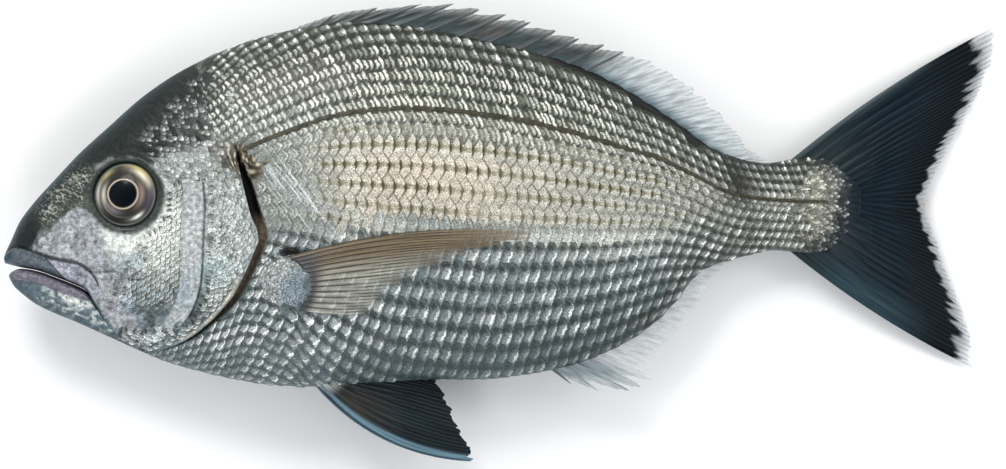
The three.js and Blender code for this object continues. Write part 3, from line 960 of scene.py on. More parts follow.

# %% [markdown]
# ## Skin of the body
#
# Most of the body's skin hides under scales, so its grid can be coarse. It starts inside the head,
# stays low under the gill cover, where it is the wall of the gill slit, brown below and painted near black
# above as painted shade, and comes up behind it.

# %% Body shell
BODY_START = 30.0
BODY_END = 260.0
BODY_STEPS = 420
BODY_RING = (150, 70)
SLIT_DEPTH = 2.8
ROOT_X, ROOT_Y, ROOT_LENGTH, ROOT_HEIGHT, ROOT_RISE = 86.5, -25.6, 9.4, 8.6, 2.0
SLIT_WIDTH = [
    (-46, 0), (-43, 0.5), (-36, 1.3), (-29, 1.9), (-22, 2.2), (-16, 2.4), (-12, 2.5), (-8, 3.3),
    (-4.5, 3.7), (0, 3.5), (4, 3.2), (8, 2.3), (11, 1.2), (14, 0.4), (17, 0),
]
POCKET_X, POCKET_Y = 87.0, -16.0
slit_width_at = through(SLIT_WIDTH)


def in_slit(x, y):
    """1 down in the gill slit, which opens behind the cover's edge by the listed width, 0 outside."""
    width = slit_width_at(y)
    return ramp(width + 0.35, width - 0.35, x - seam_by_height(y)) * ramp(17, 13.5, y)


def in_pocket(x, y):
    """1 in the pocket over the root of the breast fin, which is painted near black as painted shade, 0
    outside.
    """
    return ramp(1.2, 0.7, np.hypot((x - POCKET_X) / 3.4, (y - POCKET_Y) / 1.7))


def root_distance(x, y):
    """Distance from the middle of the breast fin's root, 1 at its rim."""
    return np.hypot((x - ROOT_X) / ROOT_LENGTH, (y - ROOT_Y) / ROOT_HEIGHT)


def body_relief(x, y):
    """Skin under the scales: low in the gill slit, folded above it, proud at the root of the breast fin
    with a pocket over it, and thin where the tail begins."""
    width = slit_width_at(y)
    open_slit = ramp(17, 13.5, y)
    behind = x - seam_by_height(y)
    rise = -SLIT_DEPTH * ramp(width + 0.7, 0.5 * width, behind) * open_slit
    rise = rise - 0.8 * ramp(-2, -10, behind) * (1 - open_slit)
    share, ridges = pinch_folds(x, y)
    rise = rise + 0.16 * share * (ridges - 0.4) * ramp(0, 1.5, behind)
    rise = rise + ROOT_RISE * (1 - ramp(0.55, 1, root_distance(x, y))) - 1.8 * in_pocket(x, y)
    return rise - np.maximum(half_thickness(x, y) - 0.5, 0) * ramp(249, 260, x)


def body_point(x, share):
    """A point of the body's skin from its station and ring position, which may run a little past the
    back or the belly on to the other side."""
    y = ring_height(x, share)
    half = half_thickness(x, y) + body_relief(x, y) * off_outline(share)
    z = middle_at(x) + np.sign(np.sin(np.pi * share)) * np.maximum(half, 0)
    return np.stack(np.broadcast_arrays(x, y, z), -1)


def paint_body(x, y):
    """Skin colours of the body in the side view: dark olive on the back, cream in the middle, slate below
    and teal along the belly, these darker bands partly painted shade where the flank turns away, near black
    painted shade in the upper gill slit and in the pocket over the breast fin's root, and brown in the gill
    slit."""
    depth = back_at(x) - belly_at(x)
    height = (y - belly_at(x)) / np.maximum(depth, 1)
    colour = plain(srgb(150, 154, 146), x)
    strip = ramp(4.8, 3.4, back_at(x) - y) * ramp(146, 172, x) * ramp(232, 224, x)
    colour = layers(
        colour,
        # Slate below, teal along the belly and olive on the back: partly the skin's colours, partly painted
        # shade where the flank turns away.
        ((92, 104, 106), ramp(0.5, 0.36, height)),
        ((80, 96, 100), ramp(0.14, 0.03, height)),
        ((84, 88, 78), ramp(0.76, 0.94, height)),
        ((15, 15, 13), strip),
        ((10, 24, 33), ramp(248, 254, x + 0.02 * y * y)),
    )
    # Near black in the upper gill slit and in the pocket over the fin's root is painted shade; the brown
    # membrane below it is the skin's colour.
    floor = blend(plain(srgb(10, 8, 9), x), MEMBRANE, ramp(-3, -9, y))
    colour = layers(with_folds(colour, x, y), (srgb(20, 18, 19), in_pocket(x, y)), (floor, in_slit(x, y)))
    return colour * (1 + 0.1 * clouds(x, y, 4, 53))[..., None]


body_ring = ring_shares(*BODY_RING)
body_x = BODY_START + (BODY_END - BODY_START) * np.linspace(0, 1, BODY_STEPS)
body_points = body_point(body_x[:, None], body_ring[None, :])
front_wall = body_points[0].copy()
front_wall[:] = front_wall.mean(0)
tail_wall = body_points[-1].copy()
tail_wall[:] = tail_wall.mean(0)
body_points = np.concatenate([front_wall[None], body_points, tail_wall[None]])
body_skin = skin_finish("body skin", 0.3, 0.15)
body_colour = paint_body(body_points[..., 0], body_points[..., 1])
dress(shell("body", body_points, body_colour), body_skin, "skin")

# %% [markdown]
# ## A map of the flank for laying scales
#
# Scales keep their size when the flank curves away, so rows are spaced by the distance over the skin
# and not by height in the side view. The map is a table over station and ring position. It holds the
# skin's point, its outward direction and the distance over the skin from the lateral line, and a second
# table turns that distance back into a ring position.

# %% Tables of the flank
LATERAL_LINE = [
    (30, -22), (41, -10.6), (47.1, -4.9), (53.1, 0.6), (59.2, 5.8), (65.3, 10.3), (71, 14.2), (78, 17.3),
    (86.5, 20.6), (95.6, 24), (101.7, 25.5), (110, 26.9), (119.9, 27.5), (132.1, 27.2), (144.2, 25.8),
    (156.4, 24), (168.5, 21.3), (180.7, 17.9), (192.8, 14.3), (198.9, 12.4), (205, 9.4), (211, 6.4),
    (215.6, 3.9), (220.1, 2.1), (224.7, 0.9), (235.3, -0.2), (250.5, -0.6), (260, -0.6),
]
TABLE_X = np.arange(28.0, 261.0, 1.0)
TABLE_SHARE = np.linspace(-0.13, 1.13, 190)
TABLE_REACH = np.arange(-112.0, 76.0, 0.5)
lateral_at = through(LATERAL_LINE)


def sample(table, rows, columns, x, c):
    """Straight-line blending of a table's four nearest entries at (x, c), over even rows and columns."""
    i = np.clip((x - rows[0]) / (rows[1] - rows[0]), 0, len(rows) - 1.001)
    j = np.clip((c - columns[0]) / (columns[1] - columns[0]), 0, len(columns) - 1.001)
    i0, j0 = i.astype(int), j.astype(int)
    s, t = i - i0, j - j0
    if table.ndim == 3:
        s, t = s[..., None], t[..., None]
    low = table[i0, j0] * (1 - t) + table[i0, j0 + 1] * t
    high = table[i0 + 1, j0] * (1 - t) + table[i0 + 1, j0 + 1] * t
    return low * (1 - s) + high * s


skin_table = body_point(TABLE_X[:, None], TABLE_SHARE[None, :])
across = np.gradient(skin_table, axis=1)
lengthwise = np.gradient(skin_table, axis=0)
outward_table = np.cross(across, lengthwise)
outward_table /= np.maximum(np.linalg.norm(outward_table, axis=-1, keepdims=True), 1e-9)
if outward_table[80, 95, 2] < 0:
    outward_table = -outward_table
steps = np.hypot(np.diff(skin_table[..., 1], axis=1), np.diff(skin_table[..., 2], axis=1))
walked = np.concatenate([np.zeros((len(TABLE_X), 1)), np.cumsum(steps, 1)], 1)
line_share = ring_position(TABLE_X, lateral_at(TABLE_X))
line_walked = np.array([np.interp(s, TABLE_SHARE, w) for s, w in zip(line_share, walked)])
reach_table = line_walked[:, None] - walked
share_table = np.array(
    [np.interp(TABLE_REACH, r[::-1], TABLE_SHARE[::-1]) for r in reach_table]
)
edge_walked = [[np.interp(e, TABLE_SHARE, w) for e in (0.0, 1.0)] for w in walked]
back_reach, belly_reach = (line_walked[:, None] - np.array(edge_walked)).T


def flank(x, reach, lift, side=1.0):
    """The point at a station and a distance over the skin from the lateral line, raised by a lift along
    the skin's outward direction. Side -1 gives the right flank."""
    share = sample(share_table, TABLE_X, TABLE_REACH, x, reach)
    point = sample(skin_table, TABLE_X, TABLE_SHARE, x, share)
    point = point + sample(outward_table, TABLE_X, TABLE_SHARE, x, share) * lift[..., None]
    middle = middle_at(x)
    point[..., 2] = middle + side * (point[..., 2] - middle)
    return point


print("reach to back and belly at 120 mm", back_reach[92].round(1), belly_reach[92].round(1))

# %% [markdown]
# ## Scales
#
# A scale is a thin plate that is fixed at its front, under the scale ahead, and free at its rear edge.
# Every plate slopes a little, so that the one ahead always lies on top, like roof tiles. They lie in rows
# with each row set half a scale further than its neighbour, which leaves a tall six-sided cell of each in
# view. Towards the back the cells lean one way and towards the belly the other way. Real plates are
# used here and not only a bump pattern, because their edges catch the light from any side. Each plate is
# a grid of a few dozen faces, and one array holds them all.

# %% Lay out the rows
PITCH = 3.3
ABOVE_FIRST, ABOVE_SPACING = 2.2, 4.35
BELOW_REACH = [(-1, -2.3), (-2, -5.8), (-3, -11.2), (-4, -17.5), (-5, -23.9), (-30, -183.9)]
PITCH_SHARE = [(28, 0.6), (45, 0.66), (60, 0.78), (80, 0.9), (105, 1), (175, 1), (205, 0.88), (225, 0.78),
               (240, 0.62), (252, 0.45)]
BELOW_SHARE = [(28, 0.4), (45, 0.45), (62, 0.52), (80, 0.6), (92, 0.74), (105, 0.9), (120, 1), (150, 1),
               (175, 0.86), (195, 0.68), (210, 0.54), (225, 0.47), (240, 0.45), (252, 0.5)]
ABOVE_SHARE = [(28, 0.6), (45, 0.62), (62, 0.72), (80, 0.85), (105, 1), (150, 1), (175, 0.9), (195, 0.76),
               (210, 0.68), (225, 0.66), (240, 0.66), (252, 0.75)]
pitch_share_at = through(PITCH_SHARE)
below_share_at = through(BELOW_SHARE)
above_share_at = through(ABOVE_SHARE)

PLATE_LENGTH = 2.2
PLATE_HALF_HEIGHT = 0.8
SWEEP = 0.5
TIP_ROUND, LEANING_ROUND = 0.22, 0.12
LEANING_SLOPE = 0.75
LEAN = 0.3
PLATE_LIFT = 0.42
PLATE_SINK = 0.06
ALONG_POINTS, ACROSS_POINTS = 5, 8
STATION_STEP = 0.25


def row_reach(row, x):
    """Distance of a row's line from the lateral line: the listed reach times the station's share."""
    above = (ABOVE_FIRST + row * ABOVE_SPACING) * above_share_at(x)
    listed, reached = np.array(BELOW_REACH[::-1], float).T
    below = np.interp(row, listed, reached) * below_share_at(x)
    return np.where(row >= 0, above, below)


def row_spacing(row, x):
    """Spacing of the rows round a row at a station, half of the way between its two neighbours."""
    above = ABOVE_SPACING * above_share_at(x)
    below = row_reach(np.minimum(row, -1), x) - row_reach(np.minimum(row, -1) - 1, x)
    return np.where(row >= 0, above, below)


def counted(start, end, pitch):
    """Close stations along the fish, and how many plates of the local pitch fit before each of them."""
    fine_x = np.arange(start, end, STATION_STEP)
    return np.cumsum(STATION_STEP / (pitch * pitch_share_at(fine_x))), fine_x


def scale_centres(first_row, last_row, start, end, seed):
    """Centres of all scales: counts along the fish are spread by the pitch, and odd rows are set half a
    scale further. Gives (row, x) as flat arrays."""
    count_at, fine_x = counted(start, end, PITCH)
    rows = np.arange(first_row, last_row + 1)
    counts = np.arange(int(count_at[-1]))
    row_grid, count_grid = np.meshgrid(rows, counts, indexing="ij")
    jitter = np.random.default_rng(seed).normal(0, 0.03, row_grid.shape)
    x = np.interp(count_grid + 0.5 * (row_grid % 2) + jitter, count_at, fine_x)
    return row_grid.ravel().astype(float), x.ravel()


def share_up(x, y):
    """Height in the body's outline: 0 at the belly, 1 at the back."""
    return (y - belly_at(x)) / np.maximum(back_at(x) - belly_at(x), 1)


def sheath_width(x):
    """Width over the skin of the bare dark strip along the soft part of the back fin."""
    return 4.2 * ramp(150, 170, x) * ramp(219, 209, x)


def scales_allowed(x, reach):
    """Which centres lie on scaled skin: behind the gill slit or on the nape, inside the outline, off the
    folds, off the fin's root and off the bare strip at the back fin. Gives the choice and the heights."""
    share = sample(share_table, TABLE_X, TABLE_REACH, x, reach)
    y = body_point(x, share)[..., 1]
    top = np.interp(x, TABLE_X, back_reach)
    low = np.interp(x, TABLE_X, belly_reach)
    inside = (reach < top - 0.5 - sheath_width(x)) & (reach > low + 1.0)
    behind = x > seam_by_height(y) + slit_width_at(y) + 0.9
    start = 60 + 0.4 * np.maximum(22 - y, 0) + 0.7 * np.maximum(y - 34, 0)
    nape = (y > 15.5) & (x > start + 1.5 * np.sin(0.9 * y) + 1.2 * np.sin(2.3 * y))
    bare = (pinch_folds(x, y)[0] > 0.6) | (in_pocket(x, y) > 0.3)
    rear = np.random.default_rng(57).uniform(238, 247, len(x))
    return inside & (behind | nape) & ~bare & (root_distance(x, y) > 0.96) & (x < rear), y


rows, centres = scale_centres(-26, 14, 30.0, 250.0, 5)
reach = row_reach(rows, centres)
keep, heights = scales_allowed(centres, reach)
rows, centres, heights = rows[keep], centres[keep], heights[keep]
print("scales on a flank", len(rows))

# %% [markdown]
# ## The shape and the colours of one scale
#
# Only the rear part of a scale can be seen. Its rim sweeps forward from a blunt tip as a hyperbola does.
# Copies of one modelled scale would not bend with the flank, so each point of each plate is placed on
# the map by itself. Every scale also gets its colour and the strength of its marks for the finish.

# %% Shape of the plates
def plate_grid(count, lean, seed):
    """The shape that all plates share, in pitches and rows: u, v and the distance to the rear rim. The
    rear rim sweeps forward as a hyperbola round its tip, sharper and steeper where the plates lean."""
    a = np.linspace(0, 1, ALONG_POINTS)[None, :, None]
    b = np.linspace(-1, 1, ACROSS_POINTS)[None, None, :]
    v = b * PLATE_HALF_HEIGHT * (0.75 + 0.25 * ramp(0, 0.5, a)) + np.zeros((count, 1, 1))
    leaning = np.abs(lean[:, None, None]) / LEAN
    tip = TIP_ROUND + (LEANING_ROUND - TIP_ROUND) * leaning
    slope = SWEEP / (np.sqrt(0.25 + tip**2) - tip)
    slope = slope + (LEANING_SLOPE - slope) * leaning
    swept = slope * (np.sqrt((v - lean[:, None, None]) ** 2 + tip**2) - tip)
    front = -PLATE_LENGTH + 0.2 * b * b
    u = front + a * (-swept - front)
    rng = np.random.default_rng(seed)
    lift = (u + PLATE_LENGTH) / PLATE_LENGTH * (1 + rng.normal(0, 0.1, (count, 1, 1)))
    lift = lift + rng.normal(0, 0.16, (count, 1, 1)) * v + 0.2 * (1 - (v / PLATE_HALF_HEIGHT) ** 2) * a
    return u, v, u + swept, lift


def plates(row, x, lean, seed, side):
    """All plates of a flank at once, (scales, along, across, 3), with their UV. Where a plate would run
    down into the gill slit it sinks under the skin."""
    pitch = (PITCH * pitch_share_at(x))[:, None, None]
    spacing = row_spacing(row, x)[:, None, None]
    u, v, from_rim, lift = plate_grid(len(x), lean, seed)
    px = x[:, None, None] + pitch * (u + 0.5)
    reach = row_reach(row[:, None, None], px) + v * spacing
    lift = (PLATE_LIFT * lift - PLATE_SINK) * pitch / PITCH
    flat = flank(px, reach, 0 * lift, side)
    hidden = np.maximum(in_slit(px, flat[..., 1]), in_pocket(px, flat[..., 1]))
    points = flank(px, reach, np.broadcast_to(lift, px.shape) - 1.2 * hidden, side)
    return points, np.stack([from_rim, np.broadcast_to(v, px.shape)], -1)


SCRATCH_TURN = np.radians(53.5)  # the scratches fall this far below the fish's length
SCRATCH_X, SCRATCH_LENGTH, SCRATCH_WIDTH = 90.0, 14.0, 5.5


def scratched_at(x, y):
    """Where the skin behind the gill slit is scratched, 0 to 1: a bell along the scratches."""
    along = (x - SCRATCH_X) * np.cos(SCRATCH_TURN) - y * np.sin(SCRATCH_TURN)
    across = (x - SCRATCH_X) * np.sin(SCRATCH_TURN) + y * np.cos(SCRATCH_TURN)
    return np.exp(-((along / SCRATCH_LENGTH) ** 2) - (across / SCRATCH_WIDTH) ** 2)


def saddle_at(x, y):
    """The dark saddle over the root of the tail, 0 to 1."""
    return bump(x, 223.5 - 0.2 * y, 4.6) * ramp(-9, 3, y)


def paint_scale(x, y):
    """Base colour of each scale from its place, darker towards the back and the belly partly as painted
    shade, and how brown its lens mark is: (n, 4).
    """
    height = share_up(x, y)
    colour = plain(srgb(172, 173, 165), x)
    cream = bump(x, 130, 34) * ramp(0.4, 0.52, height) * ramp(0.74, 0.6, height)
    lit = height + 0.05 * ramp(150, 210, x) + 0.012 * draws(59, len(x))
    chest = ramp(106, 90, x) * ramp(0.48, 0.4, height)
    front = ramp(110, 86, x) * ramp(0.41, 0.47, height) * ramp(0.84, 0.76, height)
    vent = ramp(165, 176, x) * ramp(218, 208, x)
    colour = layers(
        colour,
        ((205, 194, 178), cream),
        # Slate on the lower flank, teal towards the belly and dark olive towards the back are partly the
        # scales' own colours and partly painted shade where the flank turns away.
        ((172, 176, 172), ramp(0.47, 0.42, lit)),
        ((92, 105, 108), ramp(0.43, 0.34, lit)),
        ((60, 76, 81), ramp(0.26, 0.08, height)),
        ((128, 130, 120), ramp(0.68, 0.73, height)),
        ((84, 88, 76), ramp(0.72, 0.8, height)),
        ((50, 55, 44), ramp(0.82, 0.92, height)),
        ((62, 66, 60), ramp(112, 66, x) * ramp(0.72, 0.82, height)),
        ((88, 101, 105), 0.85 * chest),
        ((116, 122, 119), 0.9 * front),
        ((80, 83, 77), 0.8 * ramp(190, 222, x)),
        ((122, 122, 112), 0.7 * ramp(226, 242, x) * ramp(0.85, 0.6, height)),
        ((34, 40, 37), ramp(74, 58, x) * ramp(0.78, 0.9, height)),
        ((142, 149, 149), 0.6 * scratched_at(x, y)),
        ((24, 22, 18), 0.92 * saddle_at(x, y)),
        ((30, 38, 38), 0.9 * ramp(5, 1.5, back_at(x) - y) * ramp(200, 216, x)),
        ((34, 38, 38), 0.85 * bump(y - belly_at(x), 2.6, 1.6) * vent),
    )
    shade = 1 + 0.12 * noise(x, y, 9, 61) + 0.05 * draws(67, len(x))
    lens = ramp(0.41, 0.48, height) * ramp(0.74, 0.68, height) * (1 + 0.6 * noise(x, y * 3, 16, 63))
    lens = lens * ramp(88, 104, x) * ramp(224, 200, x)
    return with_alpha(colour * np.clip(shade, 0.6, 1.4)[:, None], np.clip(lens, 0, 1))


def mark_scale(x, y):
    """How each scale is marked, (n, 4): double pale streaks of the back and blobs of light lower down,
    which are painted highlights, dark rims of the middle and painted shade between the rows."""
    height = share_up(x, y)
    rng = np.random.default_rng(71)
    rear = ramp(168, 214, x)
    edge = np.maximum(ramp(0.9, 0.97, height), rear)
    front = ramp(112, 94, x) * ramp(0.44, 0.5, height)
    # upper is the strength of the painted highlight streaks on the back, lower that of the painted glints.
    upper = np.maximum(ramp(0.64, 0.76, height), 0.5 * front) * ramp(56, 64, x)
    lower = ramp(0.46, 0.37, height) * (1 - 0.55 * ramp(0.14, 0.02, height))
    lower = np.maximum(np.maximum(lower, 0.95 * rear), upper * edge)
    lower = lower * (1 - 0.85 * saddle_at(x, y))
    chance = np.clip(1 + 0.32 * rng.normal(0, 1, (2, len(x))), 0.25, 1.6)
    rims = (1.1 - 0.75 * upper) * (1 - 0.5 * lower)
    # between sets the painted shade between the rows.
    between = np.clip(0.12 + 0.6 * ramp(0.68, 0.82, height) + 0.55 * lower + 0.2 * upper, 0, 1)
    marks = np.stack([upper * (1 - edge) * chance[0], lower * chance[1], rims, between], -1)
    return marks * (1 - 0.6 * scratched_at(x, y)[:, None])


def chance_scale(count, seed, long=0.0, scratched=0.0):
    """Random numbers for each scale, which shift and dim its marks, how long its painted highlight blob is,
    and how scratched it is."""
    values = np.random.default_rng(seed).uniform(0, 1, (count, 3))
    values[:, 1] = long
    return with_alpha(values, scratched)

# %% [markdown]
# ## Light and dark on a scale
#
# Scales carry pale streaks on the back, which are painted highlights, a brown lens in the middle and
# painted wet glints below. A picture laid on every plate would repeat at once. The marks are drawn from the
# plate's own UV
# instead: u is the distance from the rear rim, v the height in the row. A band, an oval spot and a product
# are enough.

# %% Bands and spots
def all_of(tree, *values):
    """The product of values, cut to 0 to 1."""
    product = values[0]
    for value in values[1:]:
        product = scaled(tree, product, value)
    return calc(tree, "MULTIPLY", product, 1.0, clamp=True)


def band(tree, value, centre, half_width):
    """1 where a value is near a centre, 0 beyond the half width, with soft borders."""
    away = calc(tree, "ABSOLUTE", calc(tree, "SUBTRACT", value, centre))
    return calc(tree, "SUBTRACT", 1.0, step(tree, away, half_width * 0.4, half_width * 1.5))


def spot(tree, u, v, centre, size, slant=0.0):
    """An oval spot with soft borders: 1 where (across / wide)^2 + (upward / high)^2 is small."""
    across = calc(tree, "SUBTRACT", scaled(tree, v, -slant, u), centre[0])
    across = calc(tree, "DIVIDE", across, size[0])
    upward = calc(tree, "DIVIDE", calc(tree, "SUBTRACT", v, centre[1]), size[1])
    squares = scaled(tree, across, across, scaled(tree, upward, upward))
    return calc(tree, "SUBTRACT", 1.0, step(tree, squares, 0.35, 1.6))

# %% [markdown]
# ## The marks in their order
#
# Each mark is a mask, a strength and a colour, and a loop lays them over the painted colour like glazes.
# Noise bends the drawing first, so no two scales are marked alike, and a wet coat goes over all.

# %% Finish of the scales
def scale_marks(tree, flat_u, flat_v, bend, grain):
    """The marks as (mask, strength, colour): painted shade between rows and in the dark corners, painted
    highlight streaks, the painted glints, lens with its pale middle that is a painted highlight and its
    dark rim, the plate's rim, and scratches."""
    _, lens = attribute(tree, "Paint")
    marks, between = attribute(tree, "Marks")
    upper, lower, rims = channels(tree, marks)
    random, scratched = attribute(tree, "Chance")
    chance, long, other = channels(tree, random)
    u = scaled(tree, bend, 0.4, calc(tree, "ADD", flat_u, -0.2))
    u = scaled(tree, chance, 0.14, calc(tree, "ADD", u, -0.07))
    v = scaled(tree, bend, -0.36, calc(tree, "ADD", flat_v, 0.18))

    # Darker between the rows and in the corners where plates meet: painted shade.
    gap = all_of(tree, step(tree, calc(tree, "ABSOLUTE", v), 0.33, 0.5), between)
    upper_corner = spot(tree, u, v, (-0.56, 0.42), (0.26, 0.24))
    lower_corner = spot(tree, u, v, (-0.5, -0.46), (0.28, 0.22))
    corners = all_of(tree, calc(tree, "MAXIMUM", upper_corner, lower_corner), between, 1.1)

    # Pale streaks along the rear rim and ahead of it: painted highlights.
    front = scaled(tree, band(tree, u, -0.66, 0.12), scaled(tree, other, 0.6, 0.4))
    highlight_strokes = calc(tree, "MAXIMUM", band(tree, u, -0.2, 0.13), front)
    patchy = scaled(tree, grain, 0.6, 0.45)
    highlight_strokes = all_of(tree, highlight_strokes, band(tree, v, 0.0, 0.42), patchy, upper)

    # A blob of light with a halo and a tail: the painted highlight of the lower flank.
    wide = scaled(tree, long, -0.05, 0.14)
    high = scaled(tree, long, 0.18, 0.26)
    blob = spot(tree, u, v, (-0.22, 0.06), (wide, high), 0.4)
    halo = scaled(tree, spot(tree, u, v, (-0.38, 0.02), (0.42, 0.36)), 0.24)
    tail = scaled(tree, band(tree, v, 0.0, 0.44), 0.4)
    tail = scaled(tree, band(tree, u, -0.1, 0.07), tail)
    painted_glint = calc(tree, "MAXIMUM", calc(tree, "MAXIMUM", blob, halo), tail)
    dimmed = scaled(tree, other, 0.5, 0.45)
    brightened = scaled(tree, long, 0.6, 1.0)
    painted_glint = all_of(tree, painted_glint, scaled(tree, grain, 0.4, 0.6), lower, dimmed, brightened)

    stripe = all_of(tree, band(tree, v, 0.0, 0.13), lens)
    # A pale patch in the middle of the lens: painted highlight.
    pale = all_of(tree, band(tree, u, -0.5, 0.2), band(tree, v, 0.0, 0.5), grain, lens)
    swept = calc(tree, "SQRT", scaled(tree, flat_v, flat_v, TIP_ROUND**2))
    straight = scaled(tree, swept, -1.5, calc(tree, "ADD", flat_u, 1.5 * TIP_ROUND))
    straight = scaled(tree, calc(tree, "SUBTRACT", bend, 0.5), 0.3, straight)
    lens_rim = all_of(tree, band(tree, straight, -0.16, 0.1), band(tree, flat_v, 0.0, 0.44), lens)
    rim = all_of(tree, step(tree, u, -0.14, -0.04), rims, 0.6)

    place = node(tree, "ShaderNodeTexCoord").outputs["Object"]
    turned = {"Vector": place, "Rotation": (0, 0, SCRATCH_TURN)}
    turned = node(tree, "ShaderNodeMapping", turned).outputs[0]
    scratch = step(tree, speckle(tree, 0.6, 2.0, turned, (0.05, 1, 0.05)), 0.53, 0.64)
    return [
        (gap, 0.62, (0.035, 0.04, 0.032)),
        (corners, 0.92, (0.018, 0.022, 0.016)),
        (highlight_strokes, 1.0, (0.82, 0.83, 0.76)),
        (painted_glint, 1.0, (0.9, 0.93, 0.91)),
        (stripe, 0.8, (0.15, 0.135, 0.06)),
        (pale, 0.4, (0.78, 0.76, 0.7)),
        (lens_rim, 0.97, (0.05, 0.042, 0.018)),
        (rim, 1.0, (0.07, 0.062, 0.045)),
        (all_of(tree, scratch, scratched, 0.85), 1.0, (0.72, 0.76, 0.76)),
    ]


def scale_finish(name, wet):
    """Pearly plates: painted colour with grain, the marks in their order, painted sparkle and a wet coat.
    """
    made, tree, shader = new_finish(name)
    paint, _ = attribute(tree, "Paint")
    _, between = attribute(tree, "Marks")
    uv = node(tree, "ShaderNodeUVMap", uv_map="Along").outputs[0]
    split = node(tree, "ShaderNodeSeparateXYZ", {0: uv})
    bend = speckle(tree, 1.3, 2.0)
    fine = speckle(tree, 0.5, 4.0)
    grain = step(tree, fine, 0.32, 0.64)
    grainy = scaled(tree, between, 0.3, 0.58)
    colour = shaded(tree, paint, grainy, grain, (0.5, 0.51, 0.52), (1.42, 1.42, 1.4))
    for mask, amount, tint in scale_marks(tree, split.outputs[0], split.outputs[1], bend, grain):
        colour = mixed(tree, scaled(tree, mask, amount), colour, tint)
    # Bright specks over the plates: painted sparkle.
    painted_sparkle = step(tree, speckle(tree, 0.34, 1.0), 0.5, 0.66)
    surface(tree, shader, {
        "Base Color": shaded(tree, colour, 0.8, painted_sparkle, (0.8, 0.8, 0.79), (1.7, 1.7, 1.66)),
        "Normal": bumpy(tree, calc(tree, "ADD", fine, bend), 0.45, 0.0004),
        "Roughness": scaled(tree, fine, 0.25, 0.22),
        "Specular IOR Level": 0.2,
        "Coat Weight": wet,
        "Coat Roughness": 0.15,
    })
    return made


scales_material = scale_finish("scales", 0.1)


def plates_object(name, points, uv, paint, marks, side, seed, long=0.0, scratched=0.0):
    """One mesh of many plates: their points, UV and one colour set for each plate."""
    if side < 0:
        points, uv = points[:, :, ::-1], uv[:, :, ::-1]
    count, rows_each, columns_each = points.shape[:3]
    quads = many_grids(count, rows_each, columns_each)
    colours = {"Paint": paint, "Marks": marks, "Chance": chance_scale(count, seed, long, scratched)}
    colours = {label: np.repeat(values, rows_each * columns_each, 0) for label, values in colours.items()}
    made = mesh_object(name, to_frame(points).reshape(-1, 3), quads, uv.reshape(-1, 2), colours)
    return dress(made, scales_material, "scales")


up = share_up(centres, heights)
lean = LEAN * (ramp(0.5, 0.42, up) - ramp(0.66, 0.76, up))
long = ramp(118, 92, centres) * ramp(0.5, 0.4, up)
for name, side, seed in (("scales_left", 1.0, 101), ("scales_right", -1.0, 103)):
    points, uv = plates(rows, centres, lean, seed, side)
    paint, marks = paint_scale(centres, heights), mark_scale(centres, heights)
    plates_object(name, points, uv, paint, marks, side, seed, long, scratched_at(centres, heights))

# %% [markdown]
# ## Lateral line
#
# The dark line along each flank is a row of small pierced scales, the fish's sense of moving water. They
# are narrow and lie on top of their neighbours.

# %% Lateral line scales
LINE_HEIGHT = 0.95
LINE_START, LINE_END = 76.0, 252.0


def line_plates(side):
    """Narrow plates along the lateral line, half as long as the flank's scales."""
    count_at, fine_x = counted(LINE_START, LINE_END, 0.5 * PITCH)
    x = np.interp(np.arange(int(count_at[-1])), count_at, fine_x)
    u, v, from_rim, lift = plate_grid(len(x), np.zeros(len(x)), 107)
    px = x[:, None, None] + 0.5 * PITCH * u
    wave = 0.12 * noise(px * 1.7, 0 * px, 1.0, 109)
    reach = v * LINE_HEIGHT * (1 - 0.4 * ramp(180, 240, px)) + wave
    points = flank(px, reach, np.broadcast_to(0.2 * lift + 0.28, px.shape), side)
    uv = np.stack([from_rim, np.broadcast_to(v, px.shape)], -1)
    shade = 1 + 0.2 * draws(113, len(x))
    paint = with_alpha(srgb(64, 60, 46) * np.clip(shade, 0.6, 1.5)[:, None], 0.0)
    marks = np.tile([0.0, 0.0, 0.6, 0.3], (len(x), 1))
    return points, uv, paint, marks


for name, side in (("lateral_line_left", 1.0), ("lateral_line_right", -1.0)):
    points, uv, paint, marks = line_plates(side)
    plates_object(name, points, uv, paint, marks, side, 127)

# %% [markdown]
# ## Small scales
#
# Smaller scales cover the cheek, the gill cover, the nape, the root of the breast fin and the root of
# the tail. They are laid straight in the side view on a staggered lattice, each turned by a direction
# that changes over the head.

# %% Small plates in the side view
def outer_height(x, y):
    """Height of the outermost skin over the middle plane: the head's shell before the gill seam, and the
    body's skin behind it."""
    before = x < seam_by_height(y) + 0.2
    rise = np.where(before & (y < 44), head_relief(x, y), body_relief(x, y))
    return half_thickness(x, y) + rise


def staggered(x_range, y_range, pitch, spacing, seed, jitter=0.12, turn=0.0):
    """Centres on a staggered lattice, turned by an angle and a little scattered, as flat arrays."""
    rng = np.random.default_rng(seed)
    middle = np.array([sum(x_range), sum(y_range)]) / 2
    reach = np.hypot(x_range[1] - x_range[0], y_range[1] - y_range[0]) / 2
    row = np.arange(-int(2 * reach / spacing), int(2 * reach / spacing) + 1)
    along = np.arange(-reach, reach, pitch)
    row, along = np.meshgrid(row, along, indexing="ij")
    along = along + 0.5 * pitch * (row % 2) + rng.normal(0, jitter * pitch, row.shape)
    across = row * spacing / 2 + rng.normal(0, jitter * spacing * 0.5, row.shape)
    x = (middle[0] + along * np.cos(turn) - across * np.sin(turn)).ravel()
    y = (middle[1] + along * np.sin(turn) + across * np.cos(turn)).ravel()
    keep = (x > x_range[0]) & (x < x_range[1]) & (y > y_range[0]) & (y < y_range[1])
    return x[keep], y[keep]


